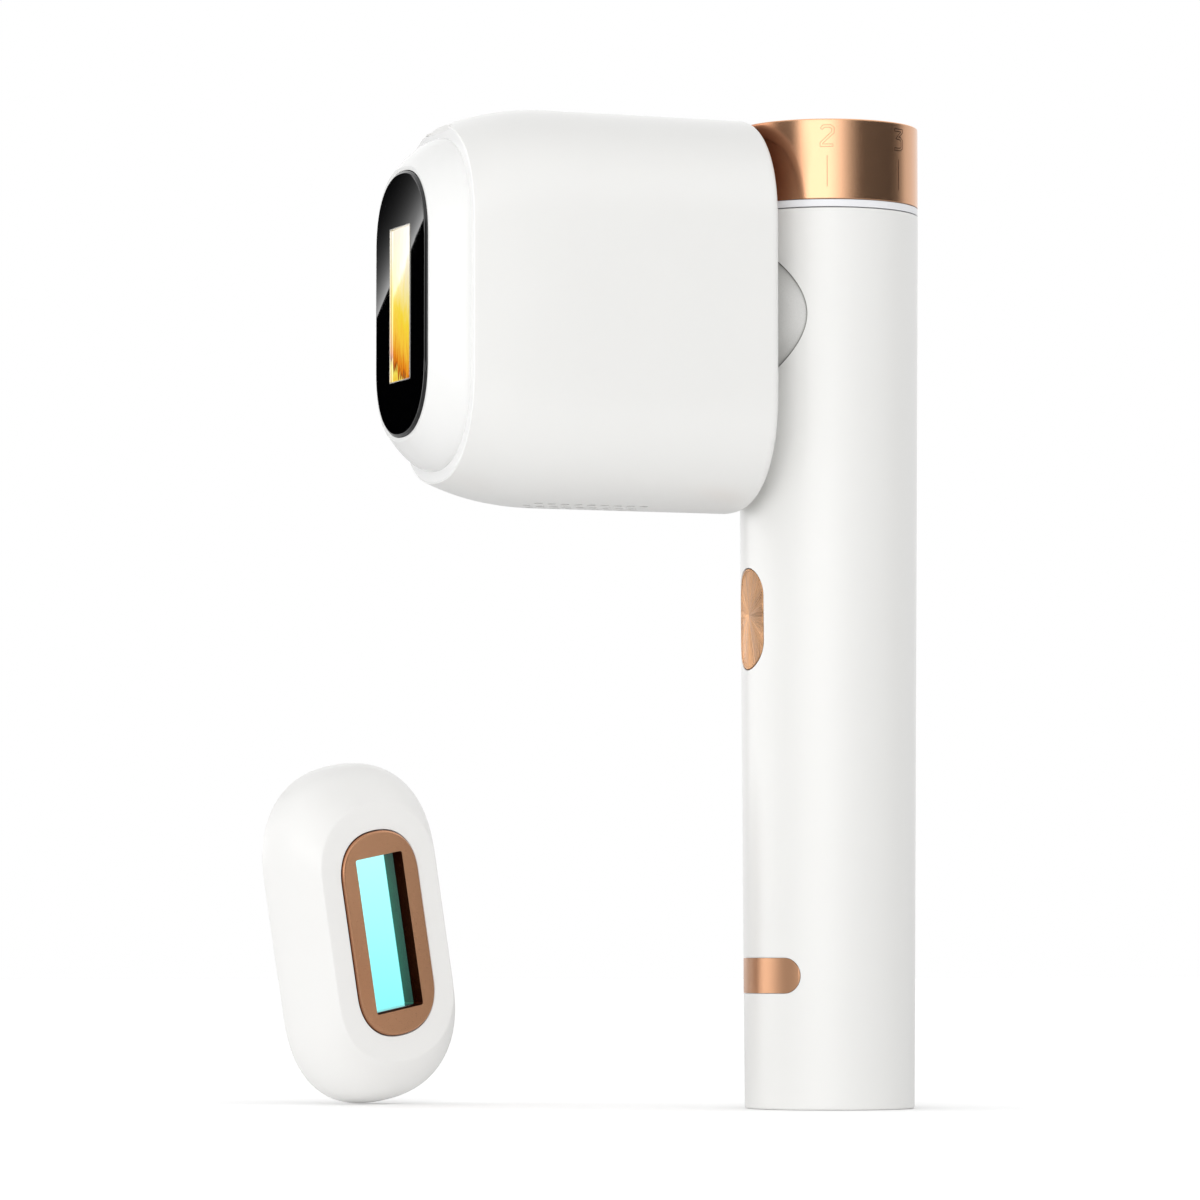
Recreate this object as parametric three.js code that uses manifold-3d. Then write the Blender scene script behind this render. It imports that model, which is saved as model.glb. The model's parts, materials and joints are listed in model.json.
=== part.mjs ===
// A hand-held light-based hair remover with its clip-on treatment attachment.
// Millimetres, +Z up. The origin is the centre of the handle's foot, on the table.
// The lamp head looks along -X.

import * as THREE from 'three';
import { mergeVertices } from 'three/addons/utils/BufferGeometryUtils.js';
import Module from 'manifold-3d';

const wasm = await Module();
wasm.setup();

// ---------------------------------------------------------------- driving dimensions

const GAP = 0.3; // clearance between neighbouring fixed pieces
const ROUND_STEPS = 40; // facets of a large turned piece
const SMALL_STEPS = 16; // facets of a small turned piece
const PILL_STEPS = 10; // facets of each round end of a pill outline
const BODY_POWER = 2.3; // fullness of the head's and attachment's ends; 2 is a half circle

// Handle
const FOOT_RADIUS = 17.7;
const TOP_RADIUS = 18.95;
const TUBE_TOP = 186.5;
const TUBE_WALL = 1.8;
const RING_TOP = 188.1;
const DIAL_BOTTOM = 188.4;
const OVERALL_HEIGHT = 205;
const CAP_THICKNESS = 3.2;
const SOCKET_RADIUS = 4;
const SOCKET_X = 8.5;
const BASE_SCREW_Y = 10.5;
const BASE_SCREW = { head: 2.2, shank: 1.2, headZ: 0.4, shankZ: 1.6, tipZ: 8.4 };
const BASE_SCREW_HOLE = 1.5; // radius
const CUT_NEAR = 5; // the openings' cutters run this far to CUT_FAR from the handle's axis
const CUT_FAR = 25;

// Flash button, on the head's side of the handle
const BUTTON_Z = 101.7;
const BUTTON_LENGTH = 20.9;
const BUTTON_WIDTH = 11.6;
const BUTTON_DEPTH = 1.5;
const BUTTON_TRAVEL = 1.0;

// Badge, let into the handle below the button, its long axis across the handle
const BADGE_Z = 27.6;
const BADGE_LENGTH = 26; // straight across, before it is bent round the handle
const BADGE_WIDTH = 7.25;
const BADGE_THICKNESS = 0.55;
const BADGE_PROUD = 0.05;

// Chassis and electronics
const SPINE_RADIUS = 15;
const SPINE_WALL = 1.6;
const SHELF = 2;
const LOWER_SHELF_Z = 147.6;
const UPPER_SHELF_Z = 178.6;
const BOARD_X = 3;
const BOARD_THICKNESS = 1.6;
const BOARD_WIDTH = 24;
const BOARD_BOTTOM = 20;
const BOARD_TOP = 142;
const CAPACITOR_RADIUS = 8.9;
const CAPACITOR_X = -6.2;
const CAPACITOR_BOTTOM = 26;
const CAPACITOR_TOP = 80;
const HEAD_LEAD_RADIUS = 1.7;

// Neck: in the head's own frame +Z is the way the lamp looks and +X is up
const NECK_Z = 164.6;
const NECK_RADIUS = 14.8;
const JOURNAL_RADIUS = 9.1;
const JOURNAL_BORE = 6.5;
const BEARING_CLEARANCE = 0.1;
const BEARING_BACK = 2.4;
const BEARING_FRONT = 8.6;
const NECK_SCREW_REACH = 17; // from the neck's axis
const NECK_SCREW_ANGLES = [45, 135, 225, 315];
const NECK_SCREW = { head: 1.9, shank: 1, headZ: 28.6, shankZ: 27.3, tipZ: 22.6 };
const NECK_SCREW_HOLE = 1.3; // radius
const LAMP_CABLE_RADIUS = 2;

// Head shell
const HEAD_REAR = 21.3;
const HEAD_FRONT = 87.5;
const HEAD_LENGTH = 81.9;
const HEAD_WIDTH = 47.7;
const RIM_LENGTH = 73;
const RIM_WIDTH = 44.8;
const TAPER_START = 63.4;
const TAPER_POWER = 2.4;
const SHELL_WALL = 2.2;
const REAR_ROUND = 2.4;

// Nose and window
const NOSE_LENGTH = 68;
const NOSE_WIDTH = 39.8;
const NOSE_TIP_LENGTH = 56.6;
const NOSE_TIP_WIDTH = 32.4;
const NOSE_BACK = 84;
const NOSE_TIP = 94.9;
const NOSE_POWER = 1.6;
const WINDOW_LENGTH = 54.4;
const WINDOW_WIDTH = 30.2;
const WINDOW_BACK = 92.2;
const WINDOW_FRONT = 95.6;
const OPENING_LENGTH = 31.8;
const OPENING_WIDTH = 12.2;

// Air vents in the head's top and bottom
const VENT_PITCH = 2.9;
const VENT_COLUMNS = 9;
const VENT_ROWS = 5;
const VENT_ROW_PITCH = 2.8;
const VENT_START = 44;
const VENT_SIZE = 1.3;

// Lamp
const LAMP_Z = 70;
const LAMP_RADIUS = 2.8;
const LAMP_HALF = 26.5;
const REFLECTOR_HALF = 23;
const REFLECTOR_MOUTH = 84;
const REFLECTOR_WALL = 0.8;
const REFLECTOR_MOUTH_HALF = 7.6;
const REFLECTOR_DEPTH = 18;
const LAMP_CAP_RADIUS = 2.4;
const LAMP_CAP_LENGTH = 6.5;
const HOLDER_LENGTH = 7;
const FRAME_LENGTH = 71;
const FRAME_WIDTH = 40.6;
const FRAME_BACK = 80.2;
const FRAME_FRONT = 83.2;
const SINK_BACK = 47;
const SINK_FRONT = 62.6;
const SINK_HALF_LENGTH = 22;
const SINK_FINS = 7;
const FIN_PITCH = 5;
const FIN_THICKNESS = 1.4;
const MAGNET_RADIUS = 2.9;
const HEAD_MAGNET_X = 28.6;

// Fan
const FAN_X = -17.5;
const FAN_SIZE = 28;
const FAN_BACK = 30;
const FAN_FRONT = 38;
const FAN_BLADES = 7;
const FAN_BORE = 12.9;
const FAN_HUB = 5.2;
const STRUT_THICKNESS = 1.2;

// Treatment attachment, loose on the table beside the handle
const SEAT_LENGTH = 73.2;
const SEAT_WIDTH = 44.1;
const ATTACHMENT_DEPTH = 12.5; // rim to the copper ring's face
const ATTACHMENT_FACE = 12; // rim to the white face around the ring
const FACE_LENGTH = 55.6;
const FACE_WIDTH = 31;
const DOME_LENGTH_POWER = 3;
const DOME_WIDTH_POWER = 1.6;
const LIGHT_LENGTH = 33.4;
const LIGHT_WIDTH = 12.6;
const MAGNET_X = 35.475;
const ATTACHMENT_RING_LENGTH = 44.1;
const ATTACHMENT_RING_WIDTH = 20.6;
const RING_OPENING = [42.2, 18.6]; // through the cover behind the ring
const RING_THICKNESS = 1.6;
const COLLAR_WALL = 0.8;
const ATTACHMENT_PLACE = [-79.5, 73.1];
const ATTACHMENT_TURN = 18.3; // degrees about the vertical
const ATTACHMENT_LEAN = 10.35; // degrees the long axis leans in its own plane

// ---------------------------------------------------------------- finishes

const FINISH = {
  pearl: { color: 0xeeece8, roughness: 0.45, metalness: 0.1 },
  white: { color: 0xf6f5f3, roughness: 0.3, metalness: 0 },
  copper: { color: 0xb87a52, roughness: 0.32, metalness: 1 },
  blackGloss: { color: 0x08080a, roughness: 0.08, metalness: 0 },
  blackPlastic: { color: 0x1b1b1d, roughness: 0.6, metalness: 0 },
  greyPlastic: { color: 0x8d9093, roughness: 0.6, metalness: 0 },
  amber: { color: 0xf0a83a, roughness: 0.08, metalness: 0 },
  teal: { color: 0x35d6d0, roughness: 0.08, metalness: 0 },
  clear: { color: 0xe8eef2, roughness: 0.05, metalness: 0 },
  board: { color: 0x1f5a3a, roughness: 0.55, metalness: 0 },
  aluminium: { color: 0xb9bcc0, roughness: 0.35, metalness: 1 },
  steel: { color: 0x9a9da1, roughness: 0.35, metalness: 1 },
  brass: { color: 0xc8a04f, roughness: 0.3, metalness: 1 },
  ceramic: { color: 0xece7dc, roughness: 0.5, metalness: 0 },
  sleeve: { color: 0x24304a, roughness: 0.4, metalness: 0 },
  winding: { color: 0x9c4a1f, roughness: 0.45, metalness: 0.3 },
  rubber: { color: 0x26262a, roughness: 0.8, metalness: 0 },
};

// ---------------------------------------------------------------- geometry helpers

// A closed manifold solid from a closed three.js geometry.
function solid(geometry) {
  const bare = geometry.clone();
  bare.deleteAttribute('normal');
  bare.deleteAttribute('uv');
  const merged = mergeVertices(bare, 1e-4);
  const source = merged.index.array;
  const triangles = [];
  for (let i = 0; i < source.length; i += 3) {
    const [a, b, c] = [source[i], source[i + 1], source[i + 2]];
    if (a !== b && b !== c && c !== a) triangles.push(a, b, c);
  }
  return new wasm.Manifold(new wasm.Mesh({
    numProp: 3,
    vertProperties: new Float32Array(merged.attributes.position.array),
    triVerts: new Uint32Array(triangles),
  }));
}

function geometryOf(manifold) {
  const mesh = manifold.getMesh();
  const geometry = new THREE.BufferGeometry();
  geometry.setAttribute('position', new THREE.BufferAttribute(mesh.vertProperties, 3));
  geometry.setIndex(new THREE.BufferAttribute(mesh.triVerts, 1));
  geometry.computeVertexNormals();
  return geometry;
}

function cut(base, ...tools) {
  let result = solid(base);
  for (const tool of tools) result = result.subtract(solid(tool));
  return geometryOf(result);
}

function join(first, ...others) {
  let result = solid(first);
  for (const other of others) result = result.add(solid(other));
  return geometryOf(result);
}

function common(first, second) {
  return geometryOf(solid(first).intersect(solid(second)));
}

// A box between two corners.
function block([x0, y0, z0], [x1, y1, z1]) {
  const geometry = new THREE.BoxGeometry(x1 - x0, y1 - y0, z1 - z0);
  return geometry.translate((x0 + x1) / 2, (y0 + y1) / 2, (z0 + z1) / 2);
}

// A closed [radius, z] profile, listed counter-clockwise, turned about Z.
function turned(profile, steps = ROUND_STEPS) {
  const closed = [...profile];
  if (profile[0][0] !== 0) closed.push(profile[0]);
  const points = closed.map(([r, z]) => new THREE.Vector2(r, z));
  return new THREE.LatheGeometry(points, steps).rotateX(Math.PI / 2);
}

// A round bar about Z at (x, y).
function bar(radius, z0, z1, x = 0, y = 0, steps = SMALL_STEPS) {
  const profile = [[0, z0], [radius, z0], [radius, z1], [0, z1]];
  return turned(profile, steps).translate(x, y, 0);
}

// A pan-head screw about Z at (x, y): head from headZ to shankZ, shank on to tipZ.
function screw({ head, shank, headZ, shankZ, tipZ }, x, y) {
  const profile = [[0, headZ], [head, headZ], [head, shankZ],
    [shank, shankZ], [shank, tipZ], [0, tipZ]];
  const ordered = tipZ > headZ ? profile : [...profile].reverse();
  return turned(ordered, SMALL_STEPS).translate(x, y, 0);
}

// A pill outline, counter-clockwise, with its long axis along X. Its ends are half circles,
// or fuller superellipses if the power is above 2.
function pill(length, width, power = 2) {
  const radius = width / 2;
  const reach = (share) => radius * Math.sign(share) * Math.abs(share) ** (2 / power);
  const straight = length / 2 - radius;
  const outline = [];
  for (const side of [1, -1]) {
    for (let i = 0; i <= PILL_STEPS; i += 1) {
      const angle = Math.PI * (i / PILL_STEPS - side / 2);
      const x = side * straight + reach(Math.cos(angle));
      outline.push(new THREE.Vector2(x, reach(Math.sin(angle))));
    }
  }
  return outline;
}

function pillPrism(length, width, z0, z1, power = 2) {
  const shape = new THREE.Shape(pill(length, width, power));
  const geometry = new THREE.ExtrudeGeometry(shape, { depth: z1 - z0, bevelEnabled: false });
  return geometry.translate(0, 0, z0);
}

// A skin over full-ended pill sections [length, width, z]. A solid skin is closed with flat
// ends. A looped skin rises on the outside, comes back down on the inside and closes.
function pillSkin(sections, looped = false) {
  const count = 2 * (PILL_STEPS + 1);
  const positions = [];
  const triangles = [];
  for (const [length, width, z] of sections) {
    for (const { x, y } of pill(length, width, BODY_POWER)) positions.push(x, y, z);
  }
  const bands = looped ? sections.length : sections.length - 1;
  for (let k = 0; k < bands; k += 1) {
    const low = k * count;
    const high = ((k + 1) % sections.length) * count;
    for (let i = 0; i < count; i += 1) {
      const j = (i + 1) % count;
      triangles.push(low + i, low + j, high + j, low + i, high + j, high + i);
    }
  }
  if (!looped) {
    const top = (sections.length - 1) * count;
    for (let i = 1; i < count - 1; i += 1) {
      triangles.push(0, i + 1, i, top, top + i, top + i + 1);
    }
  }
  const geometry = new THREE.BufferGeometry();
  geometry.setAttribute('position', new THREE.Float32BufferAttribute(positions, 3));
  geometry.setIndex(triangles);
  geometry.computeVertexNormals();
  return geometry;
}

// A round bar along a smooth curve through points.
function lead(radius, points, steps) {
  const curve = new THREE.CatmullRomCurve3(points.map((p) => new THREE.Vector3(...p)));
  const section = new THREE.Shape();
  section.absarc(0, 0, radius, 0, 2 * Math.PI);
  return new THREE.ExtrudeGeometry(section, { steps, extrudePath: curve, curveSegments: 5 });
}

// Turns a piece built about Z so that its Z axis points along -X, its X axis up.
function facingHead(geometry, z) {
  return geometry.rotateY(-Math.PI / 2).translate(0, 0, z);
}

// Turns a piece extruded along Z so that it runs along X, its section in the YZ plane.
function alongX(geometry) {
  return geometry.rotateX(Math.PI / 2).rotateZ(Math.PI / 2);
}

function place(group, name, finish, geometry) {
  const mesh = new THREE.Mesh(geometry, new THREE.MeshStandardMaterial(FINISH[finish]));
  mesh.name = name;
  group.add(mesh);
}

// ---------------------------------------------------------------- handle

function handleRadius(z) {
  return FOOT_RADIUS + (TOP_RADIUS - FOOT_RADIUS) * (z / TUBE_TOP);
}

function handleTube() {
  const tube = turned([
    [FOOT_RADIUS, 0],
    [TOP_RADIUS, TUBE_TOP],
    [TOP_RADIUS - TUBE_WALL, TUBE_TOP],
    [FOOT_RADIUS - TUBE_WALL, 0],
  ]);
  const neckBar = bar(NECK_RADIUS + GAP, CUT_NEAR, CUT_FAR, 0, 0, ROUND_STEPS);
  const badgePocket = cut(
    badgeOutline(GAP),
    bar(handleRadius(BADGE_Z) - BADGE_THICKNESS - GAP, 0, 2 * BADGE_Z, 0, 0, ROUND_STEPS),
  );
  return cut(tube, facingHead(neckBar, NECK_Z), buttonOutline(GAP), badgePocket);
}

// The button's outline as a prism through the handle's wall, grown by a margin.
function buttonOutline(margin) {
  const size = [BUTTON_LENGTH + 2 * margin, BUTTON_WIDTH + 2 * margin];
  return facingHead(pillPrism(...size, CUT_NEAR, CUT_FAR), BUTTON_Z);
}

function badgeOutline(margin) {
  const size = [BADGE_LENGTH + 2 * margin, BADGE_WIDTH + 2 * margin];
  return facingHead(pillPrism(...size, CUT_NEAR, CUT_FAR).rotateZ(Math.PI / 2), BADGE_Z);
}

// A turned sheet round the handle's axis, from half below z to half above it.
function sheet(outer, thickness, z, half) {
  const inner = outer - thickness;
  return turned([[inner, z - half], [outer, z - half], [outer, z + half], [inner, z + half]]);
}

function badgePlate() {
  const outer = handleRadius(BADGE_Z) + BADGE_PROUD;
  return common(sheet(outer, BADGE_THICKNESS, BADGE_Z, BADGE_WIDTH), badgeOutline(0));
}

function baseCap() {
  const plate = bar(FOOT_RADIUS - TUBE_WALL - 0.4, 0, CAP_THICKNESS, 0, 0, ROUND_STEPS);
  const tools = [bar(SOCKET_RADIUS + GAP, -1, CAP_THICKNESS + 1, SOCKET_X, 0)];
  for (const y of [BASE_SCREW_Y, -BASE_SCREW_Y]) {
    tools.push(bar(2.5, -1, 1.9, 0, y));
    tools.push(bar(BASE_SCREW_HOLE, -1, CAP_THICKNESS + 1, 0, y));
  }
  return cut(plate, ...tools);
}

function dcSocket() {
  return turned([
    [0, 1.6], [0.9, 1.6], [0.9, 9], [2.75, 9], [2.75, 0.6], [SOCKET_RADIUS, 0.6],
    [SOCKET_RADIUS, 11], [0, 11],
  ], SMALL_STEPS).translate(SOCKET_X, 0, 0);
}

// A flat shelf with a straight edge at x = edge.
function shelf(radius, edge, z) {
  const reach = Math.acos(edge / radius);
  const shape = new THREE.Shape();
  shape.absarc(0, 0, radius, -reach, reach, false);
  shape.closePath();
  const geometry = new THREE.ExtrudeGeometry(shape, {
    depth: SHELF, bevelEnabled: false, curveSegments: 8,
  });
  return geometry.translate(0, 0, z);
}

function chassis() {
  const reach = THREE.MathUtils.degToRad(65);
  const footZ = CAP_THICKNESS + 0.4;
  const section = new THREE.Shape();
  section.absarc(0, 0, SPINE_RADIUS, -reach, reach, false);
  section.absarc(0, 0, SPINE_RADIUS - SPINE_WALL, reach, -reach, true);
  section.closePath();
  const spine = new THREE.ExtrudeGeometry(section, {
    depth: UPPER_SHELF_Z + SHELF - footZ, bevelEnabled: false, curveSegments: 6,
  }).translate(0, 0, footZ);
  const ribEdge = BOARD_X + BOARD_THICKNESS + 0.4;
  const ribs = [40, 80, 120].map((z) => shelf(SPINE_RADIUS, ribEdge, z));
  const foot = bar(SPINE_RADIUS, footZ, footZ + SHELF, 0, 0, 24);
  const shelves = [LOWER_SHELF_Z, UPPER_SHELF_Z].map((z) => shelf(SPINE_RADIUS, -8.5, z));
  const body = join(spine, foot, ...ribs, ...shelves);
  const tools = [
    bar(SOCKET_RADIUS + GAP, 0, 10, SOCKET_X, 0),
    block([-3, -4.5, LOWER_SHELF_Z - 1], [9.5, 4.5, LOWER_SHELF_Z + SHELF + 1]),
  ];
  for (const y of [BASE_SCREW_Y, -BASE_SCREW_Y]) {
    tools.push(bar(BASE_SCREW_HOLE, 0, 10, 0, y));
  }
  return cut(body, ...tools);
}

function storageCapacitor() {
  const radius = CAPACITOR_RADIUS;
  const [z0, z1] = [CAPACITOR_BOTTOM, CAPACITOR_TOP];
  return turned([
    [0, z0], [radius - 0.8, z0], [radius, z0 + 0.8], [radius, z0 + 4],
    [radius - 0.7, z0 + 4.8], [radius, z0 + 5.6], [radius, z1 - 0.8],
    [radius - 0.8, z1], [radius - 2, z1], [radius - 2.4, z1 - 0.5], [0, z1 - 0.5],
  ], 24).translate(CAPACITOR_X, 0, 0);
}

function boostTransformer() {
  const core = cut(
    block([-11, -8, 12.8], [2.4, 8, 24.8]),
    block([-12, -5.8, 14.8], [3, 5.8, 22.8]),
  );
  const post = block([-7.2, -6.4, 16.6], [-1.4, 6.4, 21]);
  const coil = bar(4, -5.2, 5.2).rotateX(Math.PI / 2).translate(-4.3, 0, 18.8);
  return join(core, post, coil);
}

function flashTransistor() {
  const body = block([-2.2, -5, 118], [2.4, 5, 128]);
  const tab = cut(block([1.2, -5, 127.5], [2.4, 5, 133]), bar(1.6, -5, 5)
    .rotateY(Math.PI / 2).translate(0, 0, 130.4));
  const legs = [-2.5, 0, 2.5].map((y) => block([-0.4, y - 0.4, 113], [0.4, y + 0.4, 118.5]));
  return join(body, tab, ...legs);
}

function boardConnector() {
  return cut(block([-4, -4, 134.4], [2.6, 4, 140]), block([-2.8, -2.8, 136], [1.4, 2.8, 141]));
}

function buttonGuide() {
  const collar = facingHead(cut(
    pillPrism(BUTTON_LENGTH + 4, BUTTON_WIDTH + 3.4, 13.6, 17),
    pillPrism(BUTTON_LENGTH + 2 * GAP, BUTTON_WIDTH + 2 * GAP, 13, 18),
  ), BUTTON_Z);
  const inside = handleRadius(BUTTON_Z) - TUBE_WALL - 0.35;
  return common(collar, bar(inside, 60, 140, 0, 0, ROUND_STEPS));
}

function triggerButton() {
  const outer = handleRadius(BUTTON_Z);
  return common(sheet(outer, BUTTON_DEPTH, BUTTON_Z, BUTTON_LENGTH), buttonOutline(0));
}

function buttonCarrier() {
  const stem = common(
    facingHead(pillPrism(BUTTON_LENGTH - 2.4, BUTTON_WIDTH - 2.4, 12.6, 18), BUTTON_Z),
    bar(handleRadius(BUTTON_Z) - BUTTON_DEPTH - GAP, 60, 140, 0, 0, ROUND_STEPS),
  );
  const flange = pillPrism(BUTTON_LENGTH + 2.4, BUTTON_WIDTH + 2, 12.4, 13.3);
  return join(stem, facingHead(flange, BUTTON_Z));
}

function triggerSwitch() {
  const tip = 12.4 - BUTTON_TRAVEL - 0.2;
  const body = block([-3, -3, 8.2], [3, 3, 10.6]);
  return facingHead(join(body, bar(1.6, 10, tip)), BUTTON_Z);
}

function buildHandle(group) {
  place(group, 'handle_tube', 'pearl', handleTube());
  place(group, 'badge_plate', 'copper', badgePlate());
  place(group, 'base_cap', 'white', baseCap());
  place(group, 'base_screw_1', 'steel', screw(BASE_SCREW, 0, BASE_SCREW_Y));
  place(group, 'base_screw_2', 'steel', screw(BASE_SCREW, 0, -BASE_SCREW_Y));
  place(group, 'dc_socket', 'blackPlastic', dcSocket());
  place(group, 'chassis', 'greyPlastic', chassis());
  place(group, 'driver_board', 'board', block(
    [BOARD_X, -BOARD_WIDTH / 2, BOARD_BOTTOM],
    [BOARD_X + BOARD_THICKNESS, BOARD_WIDTH / 2, BOARD_TOP],
  ));
  place(group, 'storage_capacitor', 'sleeve', storageCapacitor());
  place(group, 'boost_transformer', 'winding', boostTransformer());
  place(group, 'flash_transistor', 'blackPlastic', flashTransistor());
  place(group, 'board_connector', 'ceramic', boardConnector());
  const leadPath = [
    [2.4, 0, NECK_Z], [4.9, 0, 161], [5, 0, 152], [1, 0, 145.5], [-0.7, 0, 140.6],
  ];
  place(group, 'head_lead', 'rubber', lead(HEAD_LEAD_RADIUS, leadPath, 16));
  place(group, 'button_guide', 'blackPlastic', buttonGuide());
  place(group, 'trigger_switch', 'blackPlastic', triggerSwitch());
  place(group, 'switch_board', 'board', block([-7.9, -5, 92], [-6.7, 5, 112]));
  place(group, 'top_ring', 'white', turned([
    [4.9, TUBE_TOP + GAP], [15, TUBE_TOP + GAP], [15, 182], [16.8, 182],
    [16.8, TUBE_TOP + GAP], [TOP_RADIUS - 0.05, TUBE_TOP + GAP],
    [TOP_RADIUS - 0.05, RING_TOP], [4.9, RING_TOP],
  ]));
  place(group, 'dial_bush', 'brass', turned([
    [3.3, 187], [4.6, 187], [4.6, 189.6], [3.3, 189.6],
  ], SMALL_STEPS));
  place(group, 'dial_encoder', 'blackPlastic', block([-6.5, -6.5, 181], [6.5, 6.5, 185.3]));
}

// The block that the neck turns in, with the lug that stops it, in the head's frame.
function neckBearing() {
  const low = LOWER_SHELF_Z + SHELF + GAP - NECK_Z;
  const high = UPPER_SHELF_Z - GAP - NECK_Z;
  const body = cut(
    block([low, -12.2, BEARING_BACK], [high, 12.2, BEARING_FRONT]),
    bar(JOURNAL_RADIUS + BEARING_CLEARANCE, 0, 20, 0, 0, ROUND_STEPS),
  );
  return join(body, block([-13.4, -1.4, 0.6], [-11.5, 1.4, BEARING_BACK + 0.5]));
}

// ---------------------------------------------------------------- dial

function buildDial(group) {
  place(group, 'dial_cap', 'copper', turned([
    [TOP_RADIUS - 1.6, DIAL_BOTTOM],
    [TOP_RADIUS, DIAL_BOTTOM],
    [TOP_RADIUS, OVERALL_HEIGHT - 0.8],
    [TOP_RADIUS - 0.6, OVERALL_HEIGHT - 0.25],
    [0, OVERALL_HEIGHT],
    [0, OVERALL_HEIGHT - 1.9],
    [TOP_RADIUS - 1.6, OVERALL_HEIGHT - 1.9],
  ]));
  place(group, 'dial_hub', 'blackPlastic', turned([
    [0, 199.5], [3.3, 199.5], [3.3, 190.2], [7, 190.2], [7, 201.2], [12, 201.2],
    [12, 202.8], [0, 202.8],
  ], 24));
  place(group, 'encoder_shaft', 'steel', bar(3, 185.6, 199.2));
}

// ---------------------------------------------------------------- head, in its own frame

// How far the shell has drawn in at z, from 0 at the straight part to 1 at the front rim.
function taper(z) {
  const run = Math.max(0, (z - TAPER_START) / (HEAD_FRONT - TAPER_START));
  return run ** TAPER_POWER;
}

function shellSection(z, inset) {
  const length = HEAD_LENGTH - (HEAD_LENGTH - RIM_LENGTH) * taper(z);
  const width = HEAD_WIDTH - (HEAD_WIDTH - RIM_WIDTH) * taper(z);
  return [length - 2 * inset, width - 2 * inset, z];
}

function ventSlots() {
  const slots = [];
  const half = VENT_SIZE / 2;
  for (let row = 0; row < VENT_ROWS; row += 1) {
    const y = (row - (VENT_ROWS - 1) / 2) * VENT_ROW_PITCH;
    const stagger = (row % 2) * (VENT_PITCH / 2);
    for (let column = 0; column < VENT_COLUMNS; column += 1) {
      const z = VENT_START + stagger + column * VENT_PITCH;
      slots.push(block([-50, y - half, z - half], [50, y + half, z + half]));
    }
  }
  return slots;
}

function headShell() {
  const roundSteps = 3;
  const taperSteps = 6;
  const rear = [];
  for (let i = 0; i < roundSteps; i += 1) {
    const angle = (Math.PI / 2) * (i / roundSteps);
    const z = HEAD_REAR + REAR_ROUND * (1 - Math.cos(angle));
    rear.push(shellSection(z, REAR_ROUND * (1 - Math.sin(angle))));
  }
  const along = [HEAD_REAR + REAR_ROUND];
  for (let i = 0; i <= taperSteps; i += 1) {
    along.push(TAPER_START + (HEAD_FRONT - TAPER_START) * (i / taperSteps));
  }
  const outer = along.map((z) => shellSection(z, 0));
  const inner = along.slice(1).reverse().map((z) => shellSection(z, SHELL_WALL));
  const opening = shellSection(HEAD_REAR, REAR_ROUND + 0.2);
  return cut(pillSkin([...rear, ...outer, ...inner, opening], true), ...ventSlots());
}

function neckScrewPlaces() {
  return NECK_SCREW_ANGLES.map((degrees) => {
    const angle = THREE.MathUtils.degToRad(degrees);
    return [NECK_SCREW_REACH * Math.cos(angle), NECK_SCREW_REACH * Math.sin(angle)];
  });
}

function neckScrewHoles() {
  const to = NECK_SCREW.headZ + 1;
  return neckScrewPlaces().map(([x, y]) => bar(NECK_SCREW_HOLE, HEAD_REAR, to, x, y, 12));
}

function rearCover() {
  const [length, width] = shellSection(HEAD_REAR, REAR_ROUND + 0.2 + GAP);
  const plate = pillPrism(length, width, HEAD_REAR + 0.7, HEAD_REAR + 3, BODY_POWER);
  const neckHole = bar(NECK_RADIUS + GAP, 0, HEAD_REAR + 10, 0, 0, ROUND_STEPS);
  return cut(plate, neckHole, ...neckScrewHoles());
}

function neckBoss() {
  const body = turned([
    [JOURNAL_BORE, -0.6], [JOURNAL_RADIUS, -0.6], [JOURNAL_RADIUS, 0.5], [8.2, 0.5],
    [8.2, 2.2], [JOURNAL_RADIUS, 2.2], [JOURNAL_RADIUS, 9.6], [NECK_RADIUS, 9.6],
    [NECK_RADIUS, 24.6], [19.4, 24.6], [19.4, 27], [JOURNAL_BORE, 27],
  ]);
  return cut(body, ...neckScrewHoles());
}

// An open ring with the tab that meets the bearing's stop lug.
function retainingRing() {
  const ring = turned([[8.5, 0.8], [11, 0.8], [11, 1.9], [8.5, 1.9]], 32);
  const tab = block([10.5, -1.4, 0.8], [13.2, 1.4, 1.9]);
  return cut(join(ring, tab), block([-12, -1.5, 0], [-8, 1.5, 3]));
}

// The nose's outline at a height above the front rim.
function noseSection(height, extra) {
  const drop = (height / (NOSE_TIP - HEAD_FRONT)) ** NOSE_POWER;
  const length = NOSE_LENGTH - (NOSE_LENGTH - NOSE_TIP_LENGTH) * drop;
  const width = NOSE_WIDTH - (NOSE_WIDTH - NOSE_TIP_WIDTH) * drop;
  return [length + extra, width + extra];
}

function noseCover() {
  const sections = [[NOSE_LENGTH, NOSE_WIDTH, NOSE_BACK]];
  const steps = 6;
  for (let i = 0; i <= steps; i += 1) {
    const height = (NOSE_TIP - HEAD_FRONT) * (i / steps);
    sections.push([...noseSection(height, 0), HEAD_FRONT + height]);
  }
  const seat = [WINDOW_LENGTH + 2 * GAP, WINDOW_WIDTH + 2 * GAP];
  const flange = [seat[0] - 5, seat[1] - 5];
  sections.push(
    [...seat, NOSE_TIP],
    [...seat, WINDOW_BACK - GAP],
    [...flange, WINDOW_BACK - GAP],
    [...flange, WINDOW_BACK - GAP - 1.5],
    [61.4, 34, WINDOW_BACK - GAP - 1.5],
    [NOSE_LENGTH - 3.6, NOSE_WIDTH - 3.6, HEAD_FRONT],
    [NOSE_LENGTH - 3.6, NOSE_WIDTH - 3.6, NOSE_BACK],
  );
  return pillSkin(sections, true);
}

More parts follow.
